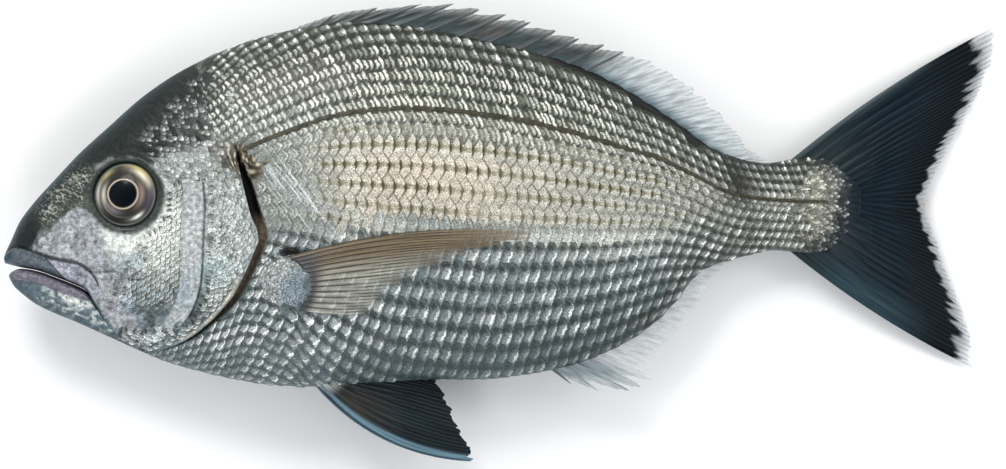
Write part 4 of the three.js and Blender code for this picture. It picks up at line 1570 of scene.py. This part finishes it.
def ringed(middle, radii, angles, pitch, spacing, seed, jitter=0.1):
    """Centres on a staggered lattice of arcs and spokes round a point, with each one's angle and radius."""
    rng = np.random.default_rng(seed)
    spokes = np.arange(*np.radians(angles), spacing / 2 / radii[1])
    spoke, radius = np.meshgrid(np.arange(len(spokes)), np.arange(*radii, pitch), indexing="ij")
    radius = radius + 0.5 * pitch * (spoke % 2) + rng.normal(0, jitter * pitch, radius.shape)
    angle = spokes[spoke] + rng.normal(0, jitter * spacing / 2 / radii[1], radius.shape)
    x = middle[0] + radius * np.cos(angle)
    y = middle[1] + radius * np.sin(angle)
    return x.ravel(), y.ravel(), angle.ravel(), radius.ravel()


def small_plates(name, x, y, turn, length, height, lift, paint, marks, seed, lean=0.0, long=0.0):
    """Plates at places of the side view, turned by an angle and sized one by one, on both flanks."""
    turn, length, height = turn + 0 * x, length + 0 * x, height + 0 * x
    u, v, from_rim, rise = plate_grid(len(x), np.full(len(x), lean), seed)
    along = length[:, None, None] * (u + 0.5)
    across = height[:, None, None] * v
    c, s = np.cos(turn)[:, None, None], np.sin(turn)[:, None, None]
    px = x[:, None, None] + along * c - across * s
    py = y[:, None, None] + along * s + across * c
    px, py = np.broadcast_arrays(px, np.clip(py, belly_at(px) + 0.3, back_at(px) - 0.3))
    lift = (lift + 0 * x)[:, None, None]
    half = outer_height(px, py) + lift * rise * (length[:, None, None] / PITCH) ** 0.5 - 0.03
    uv = np.stack([from_rim, np.broadcast_to(v, px.shape)], -1)
    for label, side in (("_left", 1.0), ("_right", -1.0)):
        points = np.stack([px, py, middle_at(px) + side * half], -1)
        plates_object(name + label, points, uv, paint, marks, side, seed, long)


GROOVE_FLANGE = 6.2


def cheek_front(y):
    """Where the cheek's scales begin at a height: behind the eye above, and farther forward below it."""
    return 41 + np.where(y > -16, -0.45, 0.8) * (y + 16)


def on_head(x, y):
    """Three choices of places on the head: scaled cheek, gill cover and nape, each off the eye's ring."""
    groove = x - cheek_edge_at(y)
    away = eye_distance(x, y)
    inside = (y > head_floor(x) + 1.2) & (y < back_at(x) - 1.2)
    folded = pinch_folds(x, y)[0] > 0.45
    cheek = (groove < -GROOVE_FLANGE - 0.6) & (y < 4) & (y > -34) & (away > EYE_RADIUS + 4.5)
    cheek = cheek & (x > cheek_front(y)) & (y < -6 + 0.9 * (x - 40)) & (x + 0.6 * y > 14)
    cover = ((groove > 3.0) & (y > -38)) | (np.hypot(x - 45, y + 10) > 30.5)
    cover = cover & (y < 8) & (x < seam_by_height(y) - np.where(y < -22, 2.4, 0.8)) & ~folded
    nape = (y > 6) & (x > 42) & (away > EYE_RADIUS + 4) & (y < 1.05 * x - 24) & ~folded
    nape = nape & (x < seam_by_height(y) + np.where(y > 15, 3, -1.5))
    return cheek & inside, cover & inside, nape & inside


def head_plates(name, x, y, turn, length, height, lift, unlike, marks, seed, long, shade=1.0):
    """Small plates in the head's own paint, each a little brighter or darker than its neighbours. Unlike
    is how far they differ."""
    chance = np.clip(0.98 + unlike * draws(seed, len(x)), 0.4, 1.8)
    paint = with_alpha(np.clip(paint_head(x, y) * shade * chance[:, None], 0, 1), 0.0)
    marks = np.broadcast_to(marks, (len(x), 4))
    small_plates(name, x, y, turn, length, height, lift, paint, marks, seed, long=long)


# In each marks row of the small scales, the first two numbers set the painted highlight streaks and the
# painted glints, the fourth the painted shade between rows.
x, y = staggered((28, 62), (-34, 6), 1.6, 3.0, 131, 0.07, np.radians(-30))
keep = on_head(x, y)[0]
x, y = x[keep], y[keep]
inner = ramp(0, 6, x - cheek_front(y)) * ramp(-34.5, -29, y)
marks = np.array([0, 0.45, 1.3, 0.8]) * (0.15 + 0.85 * inner[:, None])
head_plates("cheek_scales", x, y, np.radians(-30), 1.6, 3.0, 0.08 + 0.28 * inner, 0.16, marks, 133, 0.6)

x, y, angle, radius = ringed((45, -10), (9, 38), (-105, 48), 1.65, 3.1, 137)
keep = on_head(x, y)[1]
low = ramp(-20, -30, y[keep])[:, None]
marks = np.array([0, 0.4, 0.8, 0.55]) * (1 - low) + np.array([0, 0.75, 0.6, 1.0]) * low
head_plates("cover_scales", x[keep], y[keep], angle[keep], 1.65, 3.1 * radius[keep] / 38, 0.34, 0.26,
            marks, 139, 0.8)

x, y = staggered((40, 70), (5, 46), 2.6, 2.1, 141, 0.16, np.radians(-38))
keep = on_head(x, y)[2]
x, y = x[keep], y[keep]
marks = np.tile([0.0, 0.0, 0.2, 0.4], (len(x), 1))
marks[:, 1] = np.random.default_rng(142).uniform(-0.5, 1.2, len(x)).clip(0, 1)
head_plates("nape_scales", x, y, np.radians(-38), 2.6, 2.1, 0.28, 0.2, marks, 143, 0.0, 0.85)

# %% [markdown]
# ## Scales at the roots of two fins
#
# Scales grow smaller and run out on to the roots of the fins: in arcs at the breast fin, and fanned out
# with the rays on the tail. A straight lattice would cross them, so both are laid on arcs and spokes.

# %% Scales of the breast fin's root and of the tail's root
x, y, angle, radius = ringed((93.5, -25.5), (3.2, 17), (110, 262), 1.15, 2.2, 149, 0.16)
keep = (root_distance(x, y) < 1.05) & (x > seam_by_height(y) + slit_width_at(y) + 0.8) & (x < 92)
keep = keep & (in_pocket(x, y) < 0.2)
x, y, angle, radius = x[keep], y[keep], angle[keep], radius[keep]
chance = draws(151, len(x))
base = blend(np.tile(srgb(120, 128, 130), (len(x), 1)), srgb(186, 190, 188), ramp(-0.4, 1.3, chance))
base = blend(base, srgb(88, 112, 134), 0.75 * ramp(9.5, 4, np.hypot(x - 91, y + 28)))
marks = np.tile([0.0, 0.45, 0.6, 0.5], (len(x), 1))
base = with_alpha(base, 0.0)
small_plates("root_scales", x, y, angle + np.pi, 1.15, 2.2 * radius / 17, 0.2, base, marks, 157)

x, y, angle, radius = ringed((218, -0.8), (18, 44), (-42, 42), 2.0, 1.7, 163, 0.2)
rare = np.random.default_rng(165).uniform(0, 1, len(x))
keep = (y < back_at(x) - 0.5) & (y > belly_at(x) + 0.5) & (x < 259)
keep = keep & (rare > ramp(250, 260, x)) & (rare < ramp(236, 247, x))
x, y, angle, radius = x[keep], y[keep], angle[keep], radius[keep]
reached = ramp(246, 257, x + 0.02 * y * y)
chance = draws(167, len(x))
base = blend(np.tile(srgb(124, 125, 115), (len(x), 1)), srgb(190, 187, 170), ramp(0, 1.4, chance))
# Darker towards the outline of the tail's root: partly the fish's colour, partly painted shade where it
# turns away.
outer = ramp(7.0, 1.5, np.minimum(back_at(x) - y, y - belly_at(x)))
base = blend(base, srgb(30, 38, 40), 0.9 * outer)
base = with_alpha(blend(base, srgb(12, 26, 35), 1.15 * reached), 0.0)
marks = np.tile([0.0, 0.0, 0.3, 0.6], (len(x), 1))
# The second number sets the painted glints.
marks[:, 1] = (0.6 + 0.4 * reached) * ramp(-1.0, 0.6, chance) * (1 - 0.45 * outer)
small_plates("tail_root_scales", x, y, angle, 2.0, 1.7 * radius / 44, 0.16, base, marks, 173)

# %% [markdown]
# ## Eyes
#
# A fresh eye is a clear dome over a silver-brown ring and a black pupil, with a thin golden line round
# the pupil. The dome keeps the place of the measured eyeball. Its rings are painted by the distance
# from the middle of the eye in the side view, and a sharp clear coat makes it wet.

# %% Eyeballs
EYE_DEPTH = 6.0
EYE_SUNK = 3.1
EYE_RINGS, EYE_SIDES = 110, 180
PUPIL_RADIUS = 4.35
LEAN_STEP = 3.0


def eye_points(side):
    """An ellipsoid of the eye's radius and depth, leaning with the flesh, from rings and sides."""
    ring = np.linspace(0.001, np.pi - 0.001, EYE_RINGS)[:, None]  # the dome's middle comes first
    turn = np.linspace(0, 2 * np.pi, EYE_SIDES, endpoint=False)[None, :]
    local = np.stack([
        EYE_RADIUS * np.sin(ring) * np.cos(turn),
        EYE_RADIUS * np.sin(ring) * np.sin(turn),
        EYE_DEPTH * np.cos(ring) * np.ones_like(turn),
    ], -1)
    here = half_thickness(EYE_X, EYE_Y)
    lean_x = half_thickness(EYE_X + LEAN_STEP, EYE_Y) - half_thickness(EYE_X - LEAN_STEP, EYE_Y)
    lean_y = half_thickness(EYE_X, EYE_Y + LEAN_STEP) - half_thickness(EYE_X, EYE_Y - LEAN_STEP)
    outward = np.array([-lean_x / (2 * LEAN_STEP), -lean_y / (2 * LEAN_STEP), side], float)
    outward /= np.linalg.norm(outward)
    first = np.cross([0, 1, 0], outward)
    first /= np.linalg.norm(first)
    second = np.cross(outward, first)
    placed = local[..., :1] * first + local[..., 1:2] * second + local[..., 2:] * outward
    middle = np.array([EYE_X, EYE_Y, middle_at(EYE_X) + side * here]) - EYE_SUNK * outward
    return placed + middle, local


def sector(turn, centre, width):
    """A bell round an angle in degrees, 1 at the centre and e^-1 a width away, measured round the ring."""
    off = (np.degrees(turn) - centre + 180) % 360 - 180
    return np.exp(-((off / width) ** 2))


def paint_eye(local):
    """Rings of the eye by distance and angle from its axis: egg-shaped pupil with a cream line, a copper
    and silver inner ring, a dark line, a brighter outer ring with gilt above, a painted white highlight arc
    below, and a dark margin."""
    x, y = local[..., 0], local[..., 1]
    away, turn = np.hypot(x, y), np.arctan2(y, x)
    soft = clouds(turn * 3, away * 0.6, 1.0, 83, 3)
    colour = srgb(40, 38, 34) * (1 + 0.3 * soft)[..., None]
    inner = bump(away, 5.8, 0.9)
    outer = bump(away, 8.0, 0.95)
    edge = PUPIL_RADIUS * (1 + 0.05 * sector(turn, 180, 26) - 0.05 * sector(turn, 90, 40))
    colour = layers(
        colour,
        ((142, 124, 116), 0.85 * inner * sector(turn, 0, 42)),
        ((196, 190, 176), bump(away, 6.3, 0.7) * sector(turn, 185, 30)),
        ((112, 108, 112), inner * sector(turn, 232, 30)),
        ((78, 72, 84), bump(away, 8.0, 1.1) * sector(turn, -5, 32)),
        ((232, 226, 206), outer * sector(turn, 48, 26) * (1 + 0.3 * soft)),
        ((196, 180, 108), bump(away, 8.9, 0.55) * sector(turn, 58, 26)),
        ((184, 180, 170), bump(away, 8.4, 0.7) * sector(turn, 178, 26)),
        ((168, 156, 112), 0.8 * bump(away, 8.2, 0.8) * sector(turn, 134, 17)),
        # A white arc low in the outer ring: painted highlight.
        ((240, 240, 232), bump(away, 8.0, 0.42) * sector(turn, -57, 13)),
        ((130, 136, 130), 0.6 * bump(away, 9.15, 0.22)),
        ((150, 146, 138), 0.5 * bump(away, 7.1, 0.2) * sector(turn, 215, 60)),
        ((214, 196, 176), bump(away, edge + 0.2, 0.2)),
        ((0, 8, 15), ramp(edge + 0.1, edge - 0.12, away)),
    )
    margin = blend(plain(srgb(30, 38, 36), x), srgb(84, 96, 100), sector(turn, 180, 40))
    return blend(colour, margin, ramp(9.25, 9.6, away))


def eye_finish():
    """Painted rings under a clear, sharp coat."""
    made, tree, shader = new_finish("eye")
    paint, _ = attribute(tree, "Paint")
    surface(tree, shader, {
        "Base Color": paint,
        "Roughness": 0.3,
        "Specular IOR Level": 0.06,
        "Coat Weight": 0.1,
        "Coat Roughness": 0.03,
    })
    return made


eye_material = eye_finish()
for name, side in (("eye_left", 1.0), ("eye_right", -1.0)):
    points, local = eye_points(side)
    quads = grid_quads(EYE_RINGS, EYE_SIDES, wrap=True)
    ball = mesh_object(
        name + "_ball",
        to_frame(points).reshape(-1, 3),
        quads if side < 0 else quads[:, ::-1],
        colours={"Paint": with_alpha(paint_eye(local))},
    )
    dress(ball, eye_material, "eye", name)

# %% [markdown]
# ## Fins
#
# A fin is a skin stretched over rays that fan out from its base. One function makes them all. It takes
# the rays as pairs of a base point and a tip, reads both lines at the same share u, and v runs out along
# the ray. The thickness is a row of ridges that split in two and in two again towards the margin, as
# soft rays do. Between two tips the skin is shorter, because it tears easily.

# %% Fin surfaces
FIN_SAG = 0.06
SPLIT_SOFTNESS = 0.12
SPINE_POINTS, SPINE_SIDES = 14, 8


def read_pairs(points, share):
    """Points of a smooth line that passes one given point at each even share: cubics as before."""
    line = np.array(points, float)
    count = np.arange(len(line)) / (len(line) - 1)
    x = through(np.stack([count, line[:, 0]], -1))
    y = through(np.stack([count, line[:, 1]], -1))
    return np.stack([x(share), y(share)], -1)


def comb(u, count, sharpness=3.0):
    """A rounded ridge of height 1 on every ray: |cos| of the ray count, sharpened by a power."""
    return np.abs(np.cos(np.pi * u * count)) ** sharpness


def ray_ridges(u, v, count, first_split, second_split):
    """Height of the rays, 0 to 1, with twice and four times as many where v passes the two splits."""
    first = ramp(first_split - SPLIT_SOFTNESS, first_split + SPLIT_SOFTNESS, v)
    second = ramp(second_split - SPLIT_SOFTNESS, second_split + SPLIT_SOFTNESS, v)
    once, twice, again = comb(u, count), comb(u, 2 * count), comb(u, 4 * count)
    return (1 - first) * once + first * (1 - second) * twice + second * again


def fin(name, base, tips, thick, lift, finish, paint, columns, fan_rows, rays=None, torn=0.0,
        ragged=0.02, bulge=0.0, splits=(0.4, 0.7), seed=1):
    """A closed thin fin. The left and right sheets share one grid that wraps round the free border, and
    the sheet ends sharp there. Torn is how far the skin is cut back just behind each tip."""
    rays = rays or len(base) - 1
    u = np.linspace(0, 1, columns)[:, None]
    v = np.linspace(0, 1, fan_rows)[None, :]
    start = read_pairs(base, u[:, 0])[:, None, :]
    span = read_pairs(tips, u[:, 0])[:, None, :] - start
    tear = noise(u * rays * 3, u * 0, 1.0, seed) + 0.7 * noise(u * rays * 9, u * 0, 1.0, seed + 1)
    behind = (u * rays) % 1.0
    cut = (1 - behind) ** 1.3 * ramp(0, 0.14, behind)
    tear = ragged * tear + (torn(u) if callable(torn) else torn) * cut
    reach = v * (1 - tear * ramp(0.3, 1, v))
    sideways = np.stack([span[..., 1], -span[..., 0]], -1) * bulge
    flat = start + span * reach[..., None] + sideways * (4 * reach * (1 - reach) * (2 * u - 1))[..., None]
    x, y = flat[..., 0], flat[..., 1]
    ridges = ray_ridges(u, v, rays, *splits)
    border = np.minimum(np.minimum(u, 1 - u) * 40, 1) * np.minimum((1 - v) * 30, 1)
    half = thick * (0.25 + 0.75 * ridges) * (1 - 0.75 * v) * np.sqrt(np.clip(border, 0, 1))
    middle = lift(x, y, v + 0 * u)
    left = np.stack([x, y, middle + half], -1)
    right = np.stack([x, y, middle - half], -1)
    points = np.concatenate([left, right[:, ::-1]], 1)
    uv = np.stack(np.broadcast_arrays(u * rays, v), -1)
    colour, alpha = paint(x, y, u + 0 * v, v + 0 * u)
    painted = with_alpha(colour, np.broadcast_to(alpha, x.shape).reshape(-1, 1)).reshape(*x.shape, 4)
    uv = np.concatenate([uv, uv[:, ::-1]], 1)
    painted = np.concatenate([painted, painted[:, ::-1]], 1).reshape(-1, 4)
    made = mesh_object(
        name, to_frame(points).reshape(-1, 3), grid_quads(*points.shape[:2], wrap=True),
        uv.reshape(-1, 2), {"Paint": painted},
    )
    return dress(made, finish, "fin")


def spines(name, roots, points, radius, lift, finish):
    """Bony spines as tapered round pins in one mesh: straight lines that thin towards the tip."""
    along = np.linspace(0, 1, SPINE_POINTS)[None, :, None]
    turn = np.linspace(0, 2 * np.pi, SPINE_SIDES, endpoint=False)[None, None, :]
    root = np.array(roots, float)[:, None, None, :]
    way = np.array(points, float)[:, None, None, :] - root
    flat = root + way * along[..., None] + 0 * turn[..., None]
    across = np.stack([-way[..., 1], way[..., 0]], -1) / np.linalg.norm(way, axis=-1, keepdims=True)
    ends = np.sqrt(np.clip((1 - along) * 12, 0, 1) * np.clip(along * 12, 0, 1))
    wide = radius * (1 - 0.8 * along) * ends
    flat = flat + across * (wide * np.cos(turn))[..., None]
    z = lift(flat[..., 0], flat[..., 1], along + 0 * turn) + wide * np.sin(turn)
    pins = np.concatenate([flat, z[..., None]], -1)
    quads = many_grids(*pins.shape[:3], wrap=True)
    made = mesh_object(name, to_frame(pins).reshape(-1, 3), quads)
    return dress(made, finish, "spine")

# %% [markdown]
# ## Skin between the rays
#
# The rays show in a fin's skin as paler or darker lines. The mesh has them as ridges already, and the
# finish draws them from the same formula in the UV, one unit of u to a ray, so that ridge and line fall
# together at every split, which a picture laid on the fin would not do.

# %% Fin finish
def fin_finish(name, ray, ray_amount, streaks=0.5, thin_tips=0.0, splits=(0.4, 0.7), shine=0.3):
    """Painted skin with rays drawn by the ridges of the UV, and streaks of noise that run along the
    rays. Thin tips lets the streaks fray the skin away where its painted alpha is low."""
    made, tree, shader = new_finish(name)
    paint, alpha = attribute(tree, "Paint")
    uv = node(tree, "ShaderNodeUVMap", uv_map="Along").outputs[0]
    split = node(tree, "ShaderNodeSeparateXYZ", {0: uv})
    u, v = split.outputs[0], split.outputs[1]

    def ridge(times):
        turn = scaled(tree, u, np.pi * times)
        return calc(tree, "POWER", calc(tree, "ABSOLUTE", calc(tree, "COSINE", turn)), 4.0)

    first, second = (step(tree, v, at - SPLIT_SOFTNESS, at + SPLIT_SOFTNESS) for at in splits)
    rays = scaled(tree, calc(tree, "SUBTRACT", ridge(2), ridge(1)), first, ridge(1))
    rays = scaled(tree, calc(tree, "SUBTRACT", ridge(4), rays), second, rays)
    along = node(tree, "ShaderNodeMapping", {"Vector": uv, "Scale": (6.0, 2.5, 1.0)}).outputs[0]
    streak = node(tree, "ShaderNodeTexNoise", {"Vector": along, "Scale": 1.0, "Detail": 4.0}).outputs[0]
    colour = mixed(tree, scaled(tree, rays, ray_amount), paint, ray)
    streaked = step(tree, streak, 0.3, 0.7)
    if thin_tips > 0:
        frayed = calc(tree, "ADD", alpha, scaled(tree, streak, 2 * thin_tips, -thin_tips))
        frayed = scaled(tree, rays, 0.25, frayed)
        solid = step(tree, alpha, 0.8, 1.0)
        clear = calc(tree, "MULTIPLY", frayed, step(tree, alpha, 0.0, 0.15), clamp=True)
        feed(tree, shader.inputs["Alpha"], calc(tree, "MAXIMUM", clear, solid, clamp=True))
    surface(tree, shader, {
        "Base Color": shaded(tree, colour, streaks, streaked, (0.45, 0.46, 0.48), (1.55, 1.54, 1.5)),
        "Normal": bumpy(tree, rays, 0.4, 0.0003),
        "Roughness": 0.38,
        "Specular IOR Level": shine,
        "Coat Weight": 0.4 * shine,
        "Coat Roughness": 0.25,
    })
    return made

# %% [markdown]
# ## Tail fin
#
# The tail is nearly black and thick, paler only where the scaled root runs out on it. Its rear margin is
# the thinnest skin of the fish and frays into a clear fringe.

# %% Tail
TAIL_BASE = [
    (236.8, 10.6), (245, 7.6), (249.9, 5.2), (252.3, 3.3), (253.5, 1.5), (254.1, 0), (253.5, -1.8),
    (252.3, -3.9), (249.9, -6.7), (245, -10.6), (236.8, -14.3),
]
TAIL_TIPS = [
    (300.4, 52.4), (299.2, 41), (294.9, 31), (289.2, 21), (284, 11.2), (279.3, 0.2), (282, -10),
    (285, -19.6), (289.2, -30), (292.6, -40.4), (293.8, -50.9),
]
TAIL_DARK = 0.93


def paint_tail(x, y, u, v):
    """Blue black, greyer near the root, with a clear grey fringe beyond the dark skin."""
    colour = plain(srgb(6, 22, 32), x)
    root = ramp(272, 250, x) * ramp(0.5, 0.1, v) * ramp(2, 12, np.abs(y))
    fringe = ramp(TAIL_DARK - 0.02, TAIL_DARK + 0.01, v + 0.04 * noise(u * 90, v * 3, 1.0, 263))
    colour = layers(
        colour,
        ((34, 44, 48), root),
        ((40, 60, 68), bump(u, 0.97, 0.05) * ramp(0.1, 0.3, v)),
        ((96, 110, 112), 0.7 * ramp(0.025, 0.0, u) * ramp(0.9, 0.6, v)),
        ((2, 8, 14), ramp(0.5, 0.85, v)),
        ((150, 154, 158), fringe),
    )
    return colour, 1 - 0.78 * fringe - 0.12 * ramp(TAIL_DARK, 1, v)


tail_finish = fin_finish("tail fin", srgb(34, 50, 60), 0.3, 0.6, 0.12, (0.3, 0.6), 0.1)
fin("tail_fin", TAIL_BASE, TAIL_TIPS, 0.95, lambda x, y, v: middle_at(x), tail_finish, paint_tail, 660, 64,
    rays=17, ragged=0.014, bulge=0.03, splits=(0.3, 0.6), seed=201)

# %% [markdown]
# ## Back fin
#
# The front of the back fin stands on hard spines that lie back, and the skin between them is slate grey.
# Behind them the rays are soft and the skin turns clear towards its margin. One sheet makes both parts,
# and a mask along u changes its colour, its tears and how clear it is. The spines are pins of their own.

# %% Back fin
BACK_FIN_BASE = [
    (87.1, 49.8), (92.6, 50.7), (98.7, 51.3), (105.4, 51.6), (115.4, 51.3), (125.4, 49.8), (135.1, 48.3),
    (144.2, 46.4), (153.3, 44.2), (160.9, 42.2), (168.5, 40.1), (174.6, 38.2), (180.7, 35.2),
    (186.1, 32.2), (191.6, 28.9), (197.4, 25.5), (202.5, 22.2), (207.4, 18.8), (211.9, 15.4),
    (217.1, 12.8), (222.6, 10.8),
]
BACK_FIN_TIPS = [
    (89.6, 52.8), (100.2, 56.2), (113.3, 58.3), (126.9, 59.5), (135.7, 59.2), (144.2, 57.7), (151.5, 55.9),
    (159.1, 53.7), (167.3, 51.3), (174.3, 48.9), (181.6, 46.8), (187.8, 44.9), (196, 42), (203, 38),
    (208.7, 33.7), (213.5, 29.3), (217.8, 25.1), (221.7, 20.7), (224.8, 16.9), (227.8, 14), (230.9, 12),
]
SPINE_COUNT = 12


def paint_back_fin(x, y, u, v):
    """Slate skin between the spines, clear with blue grey ray roots behind them."""
    soft = ramp(0.5, 0.62, u)
    colour = plain(srgb(56, 64, 64), x)
    root = blend(plain(srgb(86, 108, 118), x), srgb(196, 204, 208), ramp(0.1, 0.55, v))
    colour = layers(
        colour,
        ((58, 76, 84), bump(v, 0.2, 0.2) * 0.6),
        ((84, 78, 74), ramp(0.3, 0.7, clouds(u * 40, v * 2, 1.0, 215)) * 0.6),
        ((140, 144, 142), ramp(0.6, 1, v) * 0.7),
        ((128, 132, 132), ramp(0.1, 0, u)),
        (root, soft),
    )
    alpha = 1 - soft * (0.15 + 0.62 * ramp(0.25, 1, v)) - (1 - soft) * 0.5 * ramp(0.6, 1, v)
    return colour, alpha - 0.35 * ramp(0.12, 0, u)


def back_fin_lift(x, y, v):
    """The fin leans towards the table by a share of its height over the back."""
    return middle_at(x) - FIN_SAG * np.maximum(y - back_at(x), 0)


spine_finish, spine_tree, spine_shader = new_finish("spine")
surface(spine_tree, spine_shader, {"Base Color": srgb(70, 76, 78), "Roughness": 0.3})
back_fin_finish = fin_finish("back fin", srgb(48, 62, 72), 0.3, 0.55, 0.3, (0.45, 0.8))
fin("back_fin", BACK_FIN_BASE, BACK_FIN_TIPS, 0.75, back_fin_lift, back_fin_finish, paint_back_fin, 640, 34,
    torn=lambda u: 0.16 * ramp(0.58, 0.52, u) * ramp(0.08, 0.14, u) + 0.07, ragged=0.04,
    splits=(0.45, 0.8), seed=211)
spines("back_spines", BACK_FIN_BASE[1:SPINE_COUNT], BACK_FIN_TIPS[1:SPINE_COUNT], 0.62,
       lambda x, y, v: back_fin_lift(x, y, v) + 0.25, spine_finish)

# %% [markdown]
# ## Vent fin
#
# The vent fin is folded back here, almost colourless, with three short spines and a ragged margin. The
# functions of the back fin make it too, with deeper tears.

# %% Vent fin
VENT_FIN_BASE = [
    (164, -49.6), (167.3, -49), (170.3, -48.1), (173.7, -47.2), (177.6, -45.8), (181.6, -44.3),
    (186.1, -42.3), (191, -39.7), (195.8, -36.2), (199.5, -32.8), (203.1, -29), (206.5, -25.2),
    (209.5, -21.4), (212.2, -18.6),
]
VENT_FIN_TIPS = [
    (171.9, -55.9), (179.2, -57.4), (189.9, -58.1), (193.6, -56.6), (197.3, -54), (199.5, -50.8),
    (201.9, -47.4), (204.4, -43.8), (207.4, -39.7), (210.2, -35.5), (213, -31), (216.1, -25.8),
    (219.2, -21.4), (223.6, -17.8),
]


def paint_vent_fin(x, y, u, v):
    """Blue grey at the folded front rays, and a faint clear fringe along the rest."""
    front = ramp(0.34, 0.2, u)
    colour = blend(plain(srgb(204, 208, 210), x), srgb(136, 150, 156), front)
    colour = blend(colour, srgb(186, 194, 198), ramp(0.4, 1, v) * front)
    return colour, 0.3 + 0.4 * front - 0.35 * ramp(0.4, 1, v) * (1 - 0.3 * front)


def vent_fin_lift(x, y, v):
    """The fin leans towards the table by a share of how far it hangs below the belly."""
    return middle_at(x) - FIN_SAG * np.maximum(belly_at(x) - y, 0)


vent_fin_finish = fin_finish("vent fin", srgb(70, 84, 92), 0.2, 0.5, 0.3, (0.4, 0.75))
fin("vent_fin", VENT_FIN_BASE, VENT_FIN_TIPS, 0.7, vent_fin_lift, vent_fin_finish, paint_vent_fin, 420, 34,
    torn=lambda u: 0.3 * ramp(0.35, 0.25, u) + 0.1, ragged=0.06, splits=(0.4, 0.75), seed=221)
spines("vent_spines", VENT_FIN_BASE[:3], VENT_FIN_TIPS[:3], 0.6, vent_fin_lift, spine_finish)

# %% [markdown]
# ## Belly fins
#
# The two belly fins hang folded together under the chest, black with a light blue front edge. The right
# one peeks out by a millimetre behind the left one. Both droop towards the table by a power of v, the
# share of the way out along a ray.

# %% Belly fins
PELVIC_SPREAD = 1.9
PELVIC_DROOP = 5.0
BELLY_FIN_BASE = [
    (94, -54.2), (96.3, -54.5), (97.8, -54.5), (99.3, -54.5), (100.8, -54.4), (102.3, -54.1),
    (104.5, -53.4),
]
BELLY_FIN_TIPS = [
    (142.2, -79), (140.2, -75), (138.2, -70.4), (135.9, -65.3), (133.6, -60.1), (131.2, -55.9),
    (128.6, -51.5),
]


def paint_belly_fin(x, y, u, v):
    """Blue black with a brown middle, pale roots of the rays and a light blue front edge."""
    colour = plain(srgb(14, 26, 32), x)
    colour = layers(
        colour,
        ((42, 40, 38), ramp(0.6, 0.3, v) * ramp(0.7, 0.3, u)),
        ((200, 206, 206), ramp(0.14, 0.02, v)),
        ((104, 136, 152), 0.85 * ramp(0.085, 0.045, u)),
        ((10, 20, 26), ramp(0.7, 1, v) * ramp(0.05, 0.12, u)),
    )
    return colour, np.ones_like(x)


belly_fin_finish = fin_finish("belly fin", srgb(84, 92, 94), 0.22, 0.6, 0.0, (0.25, 0.55), 0.12)
for name, side in (("belly_fin_left", 1.0), ("belly_fin_right", -1.0)):
    peek = 0.0 if side > 0 else 1.0
    shift = np.array([-peek, -0.8 * peek])
    fin(name, np.array(BELLY_FIN_BASE) + shift, np.array(BELLY_FIN_TIPS) + shift * (1 - 0.4 * peek), 0.8,
        lambda x, y, v: middle_at(x) + side * PELVIC_SPREAD * (1 - 0.3 * v) - PELVIC_DROOP * v**1.5,
        belly_fin_finish, paint_belly_fin, 300, 56, ragged=0.02, bulge=-0.11, splits=(0.25, 0.55), seed=231)

# %% [markdown]
# ## Breast fins
#
# Each breast fin lies on the flank behind the gill cover, so thin that the scales show through. A flat
# card would cut into the round flank, so its height is the body's half thickness and a little more.

# %% Breast fins
PECTORAL_LIFT = 0.9
BREAST_FIN_BASE = [
    (86.5, -17.2), (88.6, -18.6), (90.2, -20.6), (91.4, -23), (91.9, -25.6), (91.9, -28.2), (91.2, -31),
    (89.6, -33.6),
]
BREAST_FIN_TIPS = [
    (159.4, -9.7), (154, -12.2), (145, -14.4), (136.5, -17.6), (129, -22), (122.6, -26.6), (118.2, -30.2),
    (115, -33.7),
]


def paint_breast_fin(x, y, u, v):
    """Tan between the front rays, paler and clearer below and towards the margin, and darker at the root as
    painted shadow.
    """
    colour = blend(plain(srgb(140, 124, 98), x), srgb(214, 213, 200), ramp(0.2, 0.6, u))
    colour = layers(
        colour,
        ((176, 158, 132), 0.8 * ramp(0.6, 0.95, v) * ramp(0.5, 0.1, u)),
        ((50, 46, 42), 0.85 * ramp(0.05, 0.0, u) * ramp(0.9, 0.2, v)),
        # Darker grey at the root: painted shadow.
        ((80, 80, 84), ramp(0.17, 0.05, v) * ramp(0.0, 0.1, u)),
    )
    alpha = 0.58 - 0.34 * ramp(0.2, 0.65, u) - 0.3 * ramp(0.55, 1, v) + 0.4 * ramp(0.2, 0.04, v)
    return colour, alpha


breast_fin_finish = fin_finish("breast fin", srgb(40, 32, 24), 0.95, 0.6, 0.15, (0.45, 0.75))
for name, side in (("breast_fin_left", 1.0), ("breast_fin_right", -1.0)):
    fin(name, BREAST_FIN_BASE, BREAST_FIN_TIPS, 0.5,
        lambda x, y, v: middle_at(x) + side * (half_thickness(x, y) + PECTORAL_LIFT + 0.5 * v),
        breast_fin_finish, paint_breast_fin, 400, 60, rays=13, ragged=0.05, bulge=0.05,
        splits=(0.45, 0.75), seed=241)

# %% [markdown]
# ## Measuring the result
#
# The last cell measures the dressed fish's box. It should agree with the measured model's within a
# millimetre, and a piece in the wrong unit or on the wrong side would change it at once.

# %% Measure and finish
low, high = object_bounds()
